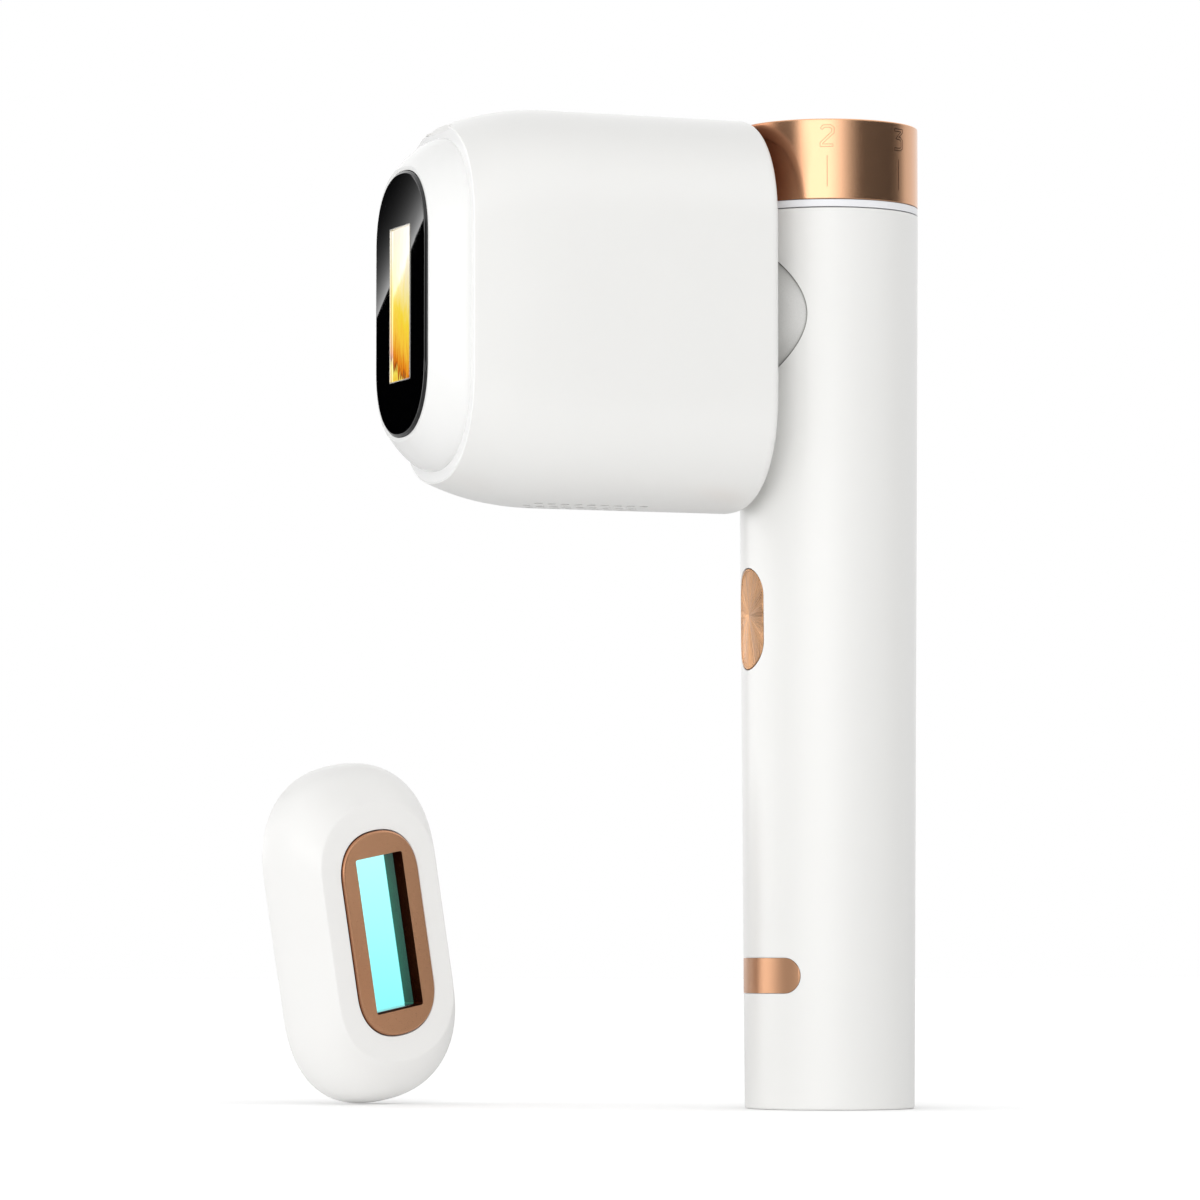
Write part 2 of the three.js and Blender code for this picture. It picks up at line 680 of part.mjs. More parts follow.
function windowPlate() {
  const plate = pillSkin([
    [WINDOW_LENGTH, WINDOW_WIDTH, WINDOW_BACK],
    [WINDOW_LENGTH, WINDOW_WIDTH, NOSE_TIP],
    [WINDOW_LENGTH - 1, WINDOW_WIDTH - 1, NOSE_TIP + 0.4],
    [WINDOW_LENGTH - 12, WINDOW_WIDTH - 10, WINDOW_FRONT],
  ]);
  const half = [OPENING_LENGTH / 2, OPENING_WIDTH / 2];
  return cut(plate, block([-half[0], -half[1], 90], [half[0], half[1], 100]));
}

function filterGlass() {
  const x = OPENING_LENGTH / 2 - GAP;
  const y = OPENING_WIDTH / 2 - GAP;
  const back = WINDOW_BACK - GAP - 1.6;
  return join(
    block([-x, -y, back], [x, y, WINDOW_FRONT - 0.4]),
    block([-x - 2, -y - 2, back], [x + 2, y + 2, WINDOW_BACK - GAP]),
  );
}

function frontFrame() {
  const plate = pillPrism(FRAME_LENGTH, FRAME_WIDTH, FRAME_BACK, FRAME_FRONT);
  const mouth = block([-REFLECTOR_HALF - 0.8, -8.8, 79], [REFLECTOR_HALF + 0.8, 8.8, 85]);
  return cut(plate, mouth);
}

function reflector() {
  const [x, y] = [REFLECTOR_MOUTH_HALF, REFLECTOR_DEPTH];
  const [outerX, outerY] = [x + REFLECTOR_WALL, y + REFLECTOR_WALL];
  const section = new THREE.Shape();
  section.absellipse(0, REFLECTOR_MOUTH, outerX, outerY, Math.PI, 2 * Math.PI, false, 0);
  section.absellipse(0, REFLECTOR_MOUTH, x, y, 2 * Math.PI, Math.PI, true, 0);
  section.closePath();
  const trough = new THREE.ExtrudeGeometry(section, {
    depth: 2 * REFLECTOR_HALF, bevelEnabled: false, curveSegments: 16,
  });
  return alongX(trough.translate(0, 0, -REFLECTOR_HALF));
}

function lampHolder(side) {
  const near = side * (REFLECTOR_HALF + 0.5);
  const far = near + side * HOLDER_LENGTH;
  const body = block([Math.min(near, far), -7, 64], [Math.max(near, far), 7, 78]);
  return cut(body, alongX(bar(LAMP_RADIUS + 0.4, -40, 40, 0, LAMP_Z)));
}

function lampCap(side) {
  const from = side * (LAMP_HALF + GAP);
  const to = side * (LAMP_HALF + LAMP_CAP_LENGTH);
  return alongX(bar(LAMP_CAP_RADIUS, Math.min(from, to), Math.max(from, to), 0, LAMP_Z));
}

function heatSink() {
  const baseBack = SINK_FRONT - 2.8;
  const half = SINK_HALF_LENGTH;
  const base = block([-half, -15.4, baseBack], [half, 15.4, SINK_FRONT]);
  const fins = [];
  for (let i = 0; i < SINK_FINS; i += 1) {
    const y = (i - (SINK_FINS - 1) / 2) * FIN_PITCH;
    const [low, high] = [y - FIN_THICKNESS / 2, y + FIN_THICKNESS / 2];
    fins.push(block([-half, low, SINK_BACK], [half, high, baseBack + 0.7]));
  }
  return join(base, ...fins);
}

function fanFrame() {
  const half = FAN_SIZE / 2;
  const housing = cut(
    block([-half, -half, FAN_BACK], [half, half, FAN_FRONT]),
    bar(FAN_BORE, FAN_BACK - 1, FAN_FRONT + 1, 0, 0, 32),
  );
  const parts = [bar(FAN_HUB + 0.2, FAN_BACK, FAN_BACK + STRUT_THICKNESS)];
  for (const degrees of [0, 120, 240]) {
    const front = FAN_BACK + STRUT_THICKNESS;
    const strut = block([FAN_HUB - 0.7, -0.9, FAN_BACK], [FAN_BORE + 0.5, 0.9, front]);
    parts.push(strut.rotateZ(THREE.MathUtils.degToRad(degrees)));
  }
  return join(housing, ...parts).translate(FAN_X, 0, 0);
}

function fanRotor() {
  const parts = [];
  for (let i = 0; i < FAN_BLADES; i += 1) {
    const blade = block([FAN_HUB - 0.7, -3.2, -0.45], [FAN_BORE - 0.6, 3.2, 0.45]).rotateX(-0.7);
    blade.translate(0, 0, FAN_BACK + 4.8);
    parts.push(blade.rotateZ((2 * Math.PI * i) / FAN_BLADES));
  }
  const hub = bar(FAN_HUB, FAN_BACK + 1.6, FAN_FRONT - 0.5);
  return join(hub, ...parts).translate(FAN_X, 0, 0);
}

function headMagnet(side) {
  return bar(MAGNET_RADIUS, FRAME_FRONT + 0.4, FRAME_FRONT + 2.6, side * HEAD_MAGNET_X, 0);
}

function buildHead(group) {
  place(group, 'head_shell', 'pearl', headShell());
  place(group, 'rear_cover', 'white', rearCover());
  place(group, 'neck_boss', 'pearl', neckBoss());
  neckScrewPlaces().forEach(([x, y], i) => {
    place(group, `neck_screw_${i + 1}`, 'steel', screw(NECK_SCREW, x, y));
  });
  place(group, 'retaining_ring', 'steel', retainingRing());
  const cablePath = [
    [0, 0, -0.3], [0, 0, 12], [0, 0, 27], [6, 0, 35], [20, 0, 40], [28, 0, 47], [30, 0, 58],
  ];
  place(group, 'lamp_cable', 'rubber', lead(LAMP_CABLE_RADIUS, cablePath, 22));
  place(group, 'nose_cover', 'white', noseCover());
  place(group, 'window_plate', 'blackGloss', windowPlate());
  place(group, 'filter_glass', 'amber', filterGlass());
  place(group, 'sensor_board', 'board', cut(
    block([-23.5, -12, 86.6], [23.5, 12, 87.8]),
    block([-18.5, -8.4, 86], [18.5, 8.4, 89]),
  ));
  place(group, 'front_frame', 'blackPlastic', frontFrame());
  place(group, 'reflector', 'aluminium', reflector());
  const lamp = alongX(bar(LAMP_RADIUS, -LAMP_HALF, LAMP_HALF, 0, LAMP_Z));
  place(group, 'flash_lamp', 'clear', lamp);
  place(group, 'lamp_cap_top', 'brass', lampCap(1));
  place(group, 'lamp_cap_bottom', 'brass', lampCap(-1));
  place(group, 'lamp_holder_top', 'ceramic', lampHolder(1));
  place(group, 'lamp_holder_bottom', 'ceramic', lampHolder(-1));
  place(group, 'heat_sink', 'aluminium', heatSink());
  place(group, 'trigger_coil', 'winding', alongX(bar(4, 6, 16, 13, 36)));
  place(group, 'head_board', 'board', block([2, -14.4, 30], [30, -13.2, 45]));
  place(group, 'head_magnet_top', 'steel', headMagnet(1));
  place(group, 'head_magnet_bottom', 'steel', headMagnet(-1));
  place(group, 'fan_frame', 'blackPlastic', fanFrame());
  place(group, 'fan_rotor', 'greyPlastic', fanRotor());
}

// ---------------------------------------------------------------- attachment

// The attachment's frame has +Z out of its light window, +X along its long axis and its
// seating rim at z = 0. The dome draws in from the rim to the flat face, faster across its
// width than along its length.
function domeSection(height) {
  const run = height / ATTACHMENT_FACE;
  const length = SEAT_LENGTH - (SEAT_LENGTH - FACE_LENGTH) * run ** DOME_LENGTH_POWER;
  const width = SEAT_WIDTH - (SEAT_WIDTH - FACE_WIDTH) * run ** DOME_WIDTH_POWER;
  return [length, width, height];
}

// The cavity is the nose's outline with clearance.
function attachmentCover() {
  const pocket = [ATTACHMENT_RING_LENGTH + 2 * GAP, ATTACHMENT_RING_WIDTH + 2 * GAP];
  const ledge = ATTACHMENT_FACE - 1.4;
  const steps = 7;
  const outer = [];
  for (let i = 0; i <= steps; i += 1) outer.push(domeSection(ATTACHMENT_FACE * (i / steps)));
  const cavity = [7.5, 5, 2.5, 0].map((height) => [...noseSection(height, 2 * GAP), height]);
  const inner = [
    [...pocket, ATTACHMENT_FACE],
    [...pocket, ledge],
    [...RING_OPENING, ledge],
    [...RING_OPENING, ledge - 1.4],
    ...cavity,
  ];
  const pockets = [1, -1].map((side) => (
    block([side * MAGNET_X - 0.675, -2.6, -1], [side * MAGNET_X + 0.675, 2.6, 2.4])
  ));
  return cut(pillSkin([...outer, ...inner], true), ...pockets);
}

function attachmentRing() {
  const plate = pillSkin([
    [ATTACHMENT_RING_LENGTH, ATTACHMENT_RING_WIDTH, ATTACHMENT_DEPTH - RING_THICKNESS],
    [ATTACHMENT_RING_LENGTH, ATTACHMENT_RING_WIDTH, ATTACHMENT_DEPTH - 0.4],
    [ATTACHMENT_RING_LENGTH - 0.8, ATTACHMENT_RING_WIDTH - 0.8, ATTACHMENT_DEPTH],
  ]);
  const x = LIGHT_LENGTH / 2;
  const y = LIGHT_WIDTH / 2;
  const [outX, outY] = [x + COLLAR_WALL, y + COLLAR_WALL];
  const collar = block([-outX, -outY, 8.4], [outX, outY, ATTACHMENT_DEPTH - 1]);
  return cut(join(plate, collar), block([-x, -y, 8], [x, y, ATTACHMENT_DEPTH + 1]));
}

function buildAttachment(group) {
  const x = LIGHT_LENGTH / 2 - GAP;
  const y = LIGHT_WIDTH / 2 - GAP;
  place(group, 'attachment_cover', 'white', attachmentCover());
  place(group, 'attachment_ring', 'copper', attachmentRing());
  place(group, 'attachment_glass', 'teal', block([-x, -y, 8.5], [x, y, 9.3]));
  [1, -1].forEach((side, i) => {
    const centre = side * MAGNET_X;
    const magnet = block([centre - 0.375, -2.3, 0.2], [centre + 0.375, 2.3, 2.1]);
    place(group, `attachment_magnet_${i + 1}`, 'steel', magnet);
  });
}

// ---------------------------------------------------------------- assembly

const assembly = new THREE.Group();

const handle = new THREE.Group();
buildHandle(handle);
assembly.add(handle);

const dial = new THREE.Group();
buildDial(dial);
assembly.add(dial);

const flashButton = new THREE.Group();
place(flashButton, 'trigger_button', 'copper', triggerButton());
place(flashButton, 'button_carrier', 'blackPlastic', buttonCarrier());
assembly.add(flashButton);

const head = new THREE.Group();
head.position.z = NECK_Z;
head.rotation.y = -Math.PI / 2;
place(head, 'neck_bearing', 'greyPlastic', neckBearing());
buildHead(head);
assembly.add(head);

// The attachment stands on the edge of its rim: its turn about the vertical, then upright,
// then its lean, are nested groups.
const lean = THREE.MathUtils.degToRad(ATTACHMENT_LEAN);
const seatRadius = SEAT_WIDTH / 2;
const dual = BODY_POWER / (BODY_POWER - 1);
const endReach = seatRadius * (Math.cos(lean) ** dual + Math.sin(lean) ** dual) ** (1 / dual);
const seatHeight = endReach + (SEAT_LENGTH / 2 - seatRadius) * Math.cos(lean);
const attachmentTurn = new THREE.Group();
attachmentTurn.position.set(...ATTACHMENT_PLACE, seatHeight);
attachmentTurn.rotation.z = THREE.MathUtils.degToRad(ATTACHMENT_TURN);
const attachmentUpright = new THREE.Group();
attachmentUpright.rotation.x = Math.PI / 2;
const attachment = new THREE.Group();
attachment.rotation.z = Math.PI / 2 + lean;
buildAttachment(attachment);
attachmentUpright.add(attachment);
attachmentTurn.add(attachmentUpright);
assembly.add(attachmentTurn);

export default assembly;
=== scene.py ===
"""Looks for the light-based hair remover: smooth visible pieces, materials, floor, light and camera.

Shapes are written in millimetres and turned into metres when a mesh is made. Places come from
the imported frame's boxes.
"""
import json
import math

import bpy
from mathutils import Matrix, Vector
from mathutils.bvhtree import BVHTree
from mathutils.interpolate import poly_3d_calc


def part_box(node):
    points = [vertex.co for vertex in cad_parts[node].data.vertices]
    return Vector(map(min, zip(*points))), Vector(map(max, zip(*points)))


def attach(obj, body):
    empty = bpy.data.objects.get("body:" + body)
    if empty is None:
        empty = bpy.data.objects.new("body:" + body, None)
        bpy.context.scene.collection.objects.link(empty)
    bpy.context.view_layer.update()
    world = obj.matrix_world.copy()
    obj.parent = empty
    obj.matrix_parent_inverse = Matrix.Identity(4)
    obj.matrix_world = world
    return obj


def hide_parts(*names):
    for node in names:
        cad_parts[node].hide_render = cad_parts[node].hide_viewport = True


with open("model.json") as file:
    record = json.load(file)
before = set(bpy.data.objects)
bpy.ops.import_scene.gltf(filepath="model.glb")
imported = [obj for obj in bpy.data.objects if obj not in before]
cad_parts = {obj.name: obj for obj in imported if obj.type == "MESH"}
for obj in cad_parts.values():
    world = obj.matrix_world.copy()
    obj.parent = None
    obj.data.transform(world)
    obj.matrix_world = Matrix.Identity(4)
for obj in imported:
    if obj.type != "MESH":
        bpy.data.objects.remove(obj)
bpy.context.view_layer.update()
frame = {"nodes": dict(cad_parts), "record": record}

MM = 0.001
PILL_ARC = 48  # facets of each round end of a pill outline
FINE_ARC = 32  # the same for a smaller pill
BODY_POWER = 2.3  # fullness of the head's and attachment's ends; 2 is a half circle
TURN_STEPS = 192  # facets of a turned piece
SHARP = math.radians(32)  # edges steeper than this stay sharp
SUPPORT = 0.3  # how far a support point stands from a rounded corner
CORNER_SHARE = 0.48  # the most of a side that one rounded corner takes


# ---------------------------------------------------------------- places from the frame

def box_mm(node):
    low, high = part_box(node)
    return low / MM, high / MM


def centre_mm(node):
    low, high = box_mm(node)
    return (low + high) / 2


TUBE_HIGH = box_mm("handle_tube")[1]
RING_LOW, RING_HIGH = box_mm("top_ring")
DIAL_LOW, DIAL_HIGH = box_mm("dial_cap")
SHELL_LOW, SHELL_HIGH = box_mm("head_shell")
NOSE_LOW = box_mm("nose_cover")[0]
WINDOW_LOW = box_mm("window_plate")[0]
BADGE_LOW, BADGE_HIGH = box_mm("badge_plate")
BUTTON_LOW, BUTTON_HIGH = box_mm("trigger_button")

TUBE_TOP = TUBE_HIGH.z
TOP_RADIUS = TUBE_HIGH.x
FOOT_RADIUS = 17.7
TUBE_WALL = 1.8
NECK_Z = (SHELL_LOW.z + SHELL_HIGH.z) / 2
BADGE_Z = (BADGE_LOW.z + BADGE_HIGH.z) / 2
BUTTON_Z = (BUTTON_LOW.z + BUTTON_HIGH.z) / 2
NECK_RADIUS = 14.8


def lamp_axis(z):
    """A frame at height z with +Z the way the lamp looks and +X up."""
    return Matrix(((0, 0, -1, 0), (0, 1, 0, 0), (1, 0, 0, z), (0, 0, 0, 1)))


HEAD = lamp_axis(NECK_Z)
MAGNET_HEIGHT = 1.15  # of the attachment's magnets above its rim


def attachment_place():
    """The attachment's frame: +X along its long axis, +Z out of its light window, rim at 0."""
    top = centre_mm("attachment_magnet_1")
    bottom = centre_mm("attachment_magnet_2")
    middle = (top + bottom) / 2
    along = (top - bottom).normalized()
    out = (centre_mm("attachment_glass") - middle).normalized()
    place = Matrix((along, out.cross(along), out)).transposed().to_4x4()
    place.translation = middle - out * MAGNET_HEIGHT
    return place


ATTACHMENT = attachment_place()


def handle_radius(z):
    return FOOT_RADIUS + (TOP_RADIUS - FOOT_RADIUS) * z / TUBE_TOP


# ---------------------------------------------------------------- mesh helpers

def new_object(name, data):
    made = bpy.data.objects.new(name, data)
    bpy.context.scene.collection.objects.link(made)
    return made


def make_piece(name, points, faces, place=Matrix.Identity(4)):
    """A mesh object from points in mm in a frame of their own."""
    mesh = bpy.data.meshes.new(name)
    mesh.from_pydata([(place @ Vector(p)) * MM for p in points], [], faces)
    mesh.validate()
    mesh.update()
    return new_object(name, mesh)


def shade(mesh):
    mesh.shade_smooth()
    mesh.set_sharp_from_angle(angle=SHARP)


def smooth(piece):
    """Smooth shading with sharp edges, evened out over large and small faces."""
    shade(piece.data)
    even = piece.modifiers.new("even_normals", "WEIGHTED_NORMAL")
    even.keep_sharp = True
    return piece


def round_corners(corners, closed, steps=5):
    """Replaces each corner (place, radius) of a line by an arc with a support point on each side.

    A radius of 0 stays sharp.
    """
    rounded = []
    last = len(corners) - 1
    for i, (*point, radius) in enumerate(corners):
        here = Vector(point)
        if radius == 0 or (not closed and i in (0, last)):
            rounded.append(here)
            continue
        back = Vector(corners[i - 1][:-1]) - here
        ahead = Vector(corners[(i + 1) % len(corners)][:-1]) - here
        half = back.angle(ahead) / 2
        limit = CORNER_SHARE * min(back.length, ahead.length)
        reach = min(radius / math.tan(half), limit)
        support_back = min(SUPPORT, (back.length - reach) / 2)
        support_ahead = min(SUPPORT, (ahead.length - reach) / 2)
        back.normalize()
        ahead.normalize()
        rounded.append(here + back * (reach + support_back))
        centre = here + (back + ahead).normalized() * (reach / math.cos(half))
        start = here + back * reach - centre
        end = here + ahead * reach - centre
        sweep = math.pi - 2 * half
        for k in range(steps + 1):
            share = k / steps
            arm = start * math.sin((1 - share) * sweep) + end * math.sin(share * sweep)
            rounded.append(centre + arm / math.sin(sweep))
        rounded.append(here + ahead * (reach + support_ahead))
    return rounded


def pill(length, width, arc=PILL_ARC, power=2.0):
    """A pill outline, counter-clockwise, its long axis along X, with rounded ends."""
    radius = width / 2
    straight = length / 2 - radius

    def reach(share):
        return math.copysign(radius * abs(share) ** (2 / power), share)

    outline = []
    for side in (1, -1):
        for i in range(arc + 1):
            angle = math.pi * (i / arc - side / 2)
            outline.append((side * straight + reach(math.cos(angle)), reach(math.sin(angle))))
    return outline


def ring_faces(rings, count, looped):
    """Quads between rings of equal point count, with flat ends unless looped."""
    faces = []
    for k in range(rings if looped else rings - 1):
        low = k * count
        high = ((k + 1) % rings) * count
        for i in range(count):
            j = (i + 1) % count
            faces.append((low + i, low + j, high + j, high + i))
    if not looped:
        faces.append(tuple(reversed(range(count))))
        faces.append(tuple(range((rings - 1) * count, rings * count)))
    return faces


def pill_skin(name, corners, looped, place):
    """A skin over full-ended pill sections (half length, half width, z, corner radius)."""
    sections = round_corners(corners, looped)
    points = []
    for half_length, half_width, z in sections:
        outline = pill(2 * half_length, 2 * half_width, PILL_ARC, BODY_POWER)
        points += [(x, y, z) for x, y in outline]
    return make_piece(name, points, ring_faces(len(sections), len(outline), looped), place)


def turned(name, corners, looped, place=Matrix.Identity(4)):
    """A profile of (radius, z, corner radius) turned about Z."""
    profile = round_corners(corners, looped)
    points = []
    for radius, z in profile:
        for i in range(TURN_STEPS):
            angle = 2 * math.pi * i / TURN_STEPS
            points.append((radius * math.cos(angle), radius * math.sin(angle), z))
    return make_piece(name, points, ring_faces(len(profile), TURN_STEPS, looped), place)


def rod(name, radius, z0, z1, place=Matrix.Identity(4)):
    return turned(name, [(radius, z0, 0), (radius, z1, 0)], False, place)


def prism(name, outline, z0, z1, place):
    """An outline drawn out along Z."""
    points = [(x, y, z0) for x, y in outline] + [(x, y, z1) for x, y in outline]
    return make_piece(name, points, ring_faces(2, len(outline), False), place)


def rectangle(length, width, radius, x=0.0):
    """A rectangle outline with rounded corners about (x, 0)."""
    a, b = length / 2, width / 2
    corners = ((x + a, -b), (x + a, b), (x - a, b), (x - a, -b))
    return round_corners([(*corner, radius) for corner in corners], True, 4)


def bake_modifiers(piece):
    """Turns a piece's modifiers into its mesh."""
    bpy.context.view_layer.update()
    depsgraph = bpy.context.evaluated_depsgraph_get()
    mesh = bpy.data.meshes.new_from_object(piece.evaluated_get(depsgraph))
    piece.modifiers.clear()
    piece.data = mesh


def keep_normals(piece, before):
    """Gives a carved piece the smooth normals its skin had before it was carved."""
    reach = 0.03 * MM
    same_way = 0.97
    mesh = piece.data
    shade(before)
    shade(mesh)
    tree = BVHTree.FromPolygons(
        [v.co for v in before.vertices], [tuple(p.vertices) for p in before.polygons])
    old = before.corner_normals
    normals = [Vector(corner.vector) for corner in mesh.corner_normals]
    for face in mesh.polygons:
        for loop in face.loop_indices:
            point = mesh.vertices[mesh.loops[loop].vertex_index].co
            _, _, index, distance = tree.find_nearest(point.lerp(face.center, 0.01))
            source = before.polygons[index]
            if distance > reach or source.normal.dot(face.normal) < same_way:
                continue
            weights = poly_3d_calc([before.vertices[v].co for v in source.vertices], point)
            normal = Vector()
            for corner, weight in zip(source.loop_indices, weights):
                normal += old[corner].vector * weight
            normals[loop] = normal.normalized()
    mesh.normals_split_custom_set(normals)


def combine(piece, operation, tools):
    """Adds closed tools to a piece or cuts them out of it, and removes them."""
    for tool in tools:
        step = piece.modifiers.new("combine", "BOOLEAN")
        step.operation = operation
        step.solver = "EXACT"
        step.object = tool
    bake_modifiers(piece)
    for tool in tools:
        bpy.data.objects.remove(tool)


def carve(piece, *cutters):
    """Cuts closed cutters out of a piece and keeps its smooth normals."""
    before = piece.data.copy()
    combine(piece, "DIFFERENCE", cutters)
    keep_normals(piece, before)
    bpy.data.meshes.remove(before)


def soften(piece, width, segments=2, degrees=40):
    """Rounds a piece's sharp edges by width mm."""
    bevel = piece.modifiers.new("soft_edges", "BEVEL")
    bevel.width = width * MM
    bevel.segments = segments
    bevel.limit_method = "ANGLE"
    bevel.angle_limit = math.radians(degrees)
    bake_modifiers(piece)


def join_pieces(name, pieces):
    """One mesh from several, all in the same frame."""
    points = []
    faces = []
    for piece in pieces:
        offset = len(points)
        points += [tuple(v.co / MM) for v in piece.data.vertices]
        faces += [tuple(offset + i for i in p.vertices) for p in piece.data.polygons]
        bpy.data.objects.remove(piece)
    return make_piece(name, points, faces)


def fit(piece, body, material, slot, *nodes):
    """Puts a finished piece on its body in place of its CAD nodes."""
    piece.data.materials.clear()
    piece.data.materials.append(material)
    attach(piece, body)
    if nodes:
        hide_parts(*nodes)


# ---------------------------------------------------------------- material helpers

class Nodes:
    """Short calls for the nodes of a material or a world."""

    def __init__(self, tree):
        self.tree = tree

    def node(self, kind, **inputs):
        made = self.tree.nodes.new(kind)
        for key, value in inputs.items():
            self.feed(made.inputs[key], value)
        return made

    def feed(self, socket, value):
        if isinstance(value, bpy.types.NodeSocket):
            self.tree.links.new(value, socket)
        else:
            socket.default_value = value

    def math(self, operation, a, b=0.0):
        made = self.tree.nodes.new("ShaderNodeMath")
        made.operation = operation
        self.feed(made.inputs[0], a)
        self.feed(made.inputs[1], b)
        return made.outputs[0]

    def along(self, vector, direction):
        """How far a place lies along a direction."""
        made = self.node("ShaderNodeVectorMath")
        made.operation = "DOT_PRODUCT"
        self.feed(made.inputs[0], vector)
        self.feed(made.inputs[1], direction)
        return made.outputs["Value"]

    def split(self, vector):
        made = self.node("ShaderNodeSeparateXYZ", Vector=vector)
        return made.outputs[0], made.outputs[1], made.outputs[2]

    def sight(self, kind):
        """1 for rays of the kind named and 0 for others."""
        return self.node("ShaderNodeLightPath").outputs[kind]

    def span(self, value, low, high):
        """Maps 0..1 to low..high."""
        ends = {"To Min": low, "To Max": high}
        return self.node("ShaderNodeMapRange", Value=value, **ends).outputs[0]

    def between(self, value, low, high):
        """How far a value has come from low to high, held in 0..1."""
        ends = {"From Min": low, "From Max": high}
        return self.node("ShaderNodeMapRange", Value=value, **ends).outputs[0]

    def mix(self, share, a, b):
        """A number that goes from a to b."""
        made = self.node("ShaderNodeMix")
        for socket, value in zip((0, 2, 3), (share, a, b)):
            self.feed(made.inputs[socket], value)
        return made.outputs[0]


class Shader(Nodes):
    """A Principled material."""

    def __init__(self, name, colour, rough, metal=0.0):
        self.material = bpy.data.materials.new(name)
        self.material.use_nodes = True
        super().__init__(self.material.node_tree)
        self.surface = self.tree.nodes["Principled BSDF"]
        self.put("Base Color", (*colour, 1))
        self.put("Roughness", rough)
        self.put("Metallic", metal)
        self.place = self.node("ShaderNodeTexCoord").outputs["Object"]

    def put(self, name, value):
        self.feed(self.surface.inputs[name], value)

    def noise(self, scale, detail=2.0, stretch=(1, 1, 1), vector=None):
        """Noise in 0..1. Scale is in repeats per metre."""
        spread = self.node("ShaderNodeMapping", Vector=vector or self.place, Scale=stretch)
        made = self.node("ShaderNodeTexNoise", Vector=spread.outputs[0], Scale=scale, Detail=detail)
        return made.outputs[0]

    def openness(self, reach_mm, power):
        """1 in the open, less where other surfaces stand within reach: the mask for painted shade."""
        near = self.node("ShaderNodeAmbientOcclusion", Distance=reach_mm * MM)
        near.samples = 8
        return self.math("POWER", near.outputs["AO"], power)

    def ramp(self, value, stops):
        made = self.node("ShaderNodeValToRGB", Fac=value)
        elements = made.color_ramp.elements
        while len(elements) < len(stops):
            elements.new(0.5)
        for element, (position, colour) in zip(elements, stops):
            element.position = position
            element.color = (*colour, 1)
        return made.outputs[0]

    def blend(self, share, a, b):
        made = self.node("ShaderNodeMix")
        made.data_type = "RGBA"
        self.feed(made.inputs["Factor"], share)
        self.feed(made.inputs[6], (*a, 1) if isinstance(a, tuple) else a)
        self.feed(made.inputs[7], (*b, 1) if isinstance(b, tuple) else b)
        return made.outputs[2]

    def bump(self, height, depth_mm):
        made = self.node("ShaderNodeBump", Height=height, Distance=depth_mm * MM)
        self.put("Normal", made.outputs[0])


def painted(name, colour, rough, grain_mm, depth_mm, coat=0.0, coat_rough=0.12):
    """Moulded or painted plastic: faint cloudy tint, fine grain and uneven gloss."""
    shader = Shader(name, colour, rough)
    cloud = shader.noise(60, 3)
    darker = tuple(c * 0.985 for c in colour)
    shader.put("Base Color", shader.blend(cloud, darker, colour))
    grain = shader.noise(1000 / grain_mm, 3)
    wear = shader.noise(220, 4)
    shader.put("Roughness", shader.span(wear, rough * 0.9, rough * 1.1))
    shader.put("Coat Weight", coat)
    shader.put("Coat Roughness", coat_rough)
    shader.bump(grain, depth_mm)
    return shader.material


def shaded_paint(name, colour, dark, reach_mm):
    """Body paint with painted shade that greys it in the gap between two parts."""
    shader = Shader(name, colour, 0.42)
    shader.put("Base Color", shader.blend(shader.openness(reach_mm, 3.0), dark, colour))
    shader.put("Roughness", shader.span(shader.noise(2800, 2), 0.36, 0.48))
    return shader.material


def satin_metal(name, colour, rough, grain_mm=0.18, depth_mm=0.004):
    """Bead-blasted metal: fine grain that spreads the reflections."""
    shader = Shader(name, colour, rough, 1.0)
    grain = shader.noise(1000 / grain_mm)
    cloud = shader.noise(120, 3)
    darker = tuple(c * 0.94 for c in colour)
    shader.put("Base Color", shader.blend(cloud, darker, colour))
    shader.put("Roughness", shader.span(grain, rough * 0.85, rough * 1.15))
    shader.bump(grain, depth_mm)
    return shader.material


def shaded_metal(name, colour, rough, reach_mm, power):
    """Satin metal with painted shade that turns it dark brown in wells and beside its neighbours."""
    shader = Shader(name, colour, rough, 1.0)
    grain = shader.noise(4200)
    dark = tuple(c * share for c, share in zip(colour, (0.28, 0.11, 0.05)))
    shader.put("Base Color", shader.blend(shader.openness(reach_mm, power), dark, colour))
    shader.put("Roughness", shader.span(grain, rough * 0.75, rough * 1.25))
    shader.bump(grain, 0.007)
    return shader.material


def engraved_metal(name, colour, dark):
    """Fine engraving in metal: faint when faced, with painted shade that makes it dark at a slant."""
    shader = Shader(name, colour, 0.3, 1.0)
    slant = shader.node("ShaderNodeLayerWeight", Blend=0.5)
    share = shader.between(slant.outputs["Facing"], 0.12, 0.35)
    shader.put("Base Color", shader.blend(share, colour, dark))
    shader.put("Roughness", shader.span(shader.noise(900), 0.25, 0.4))
    return shader.material


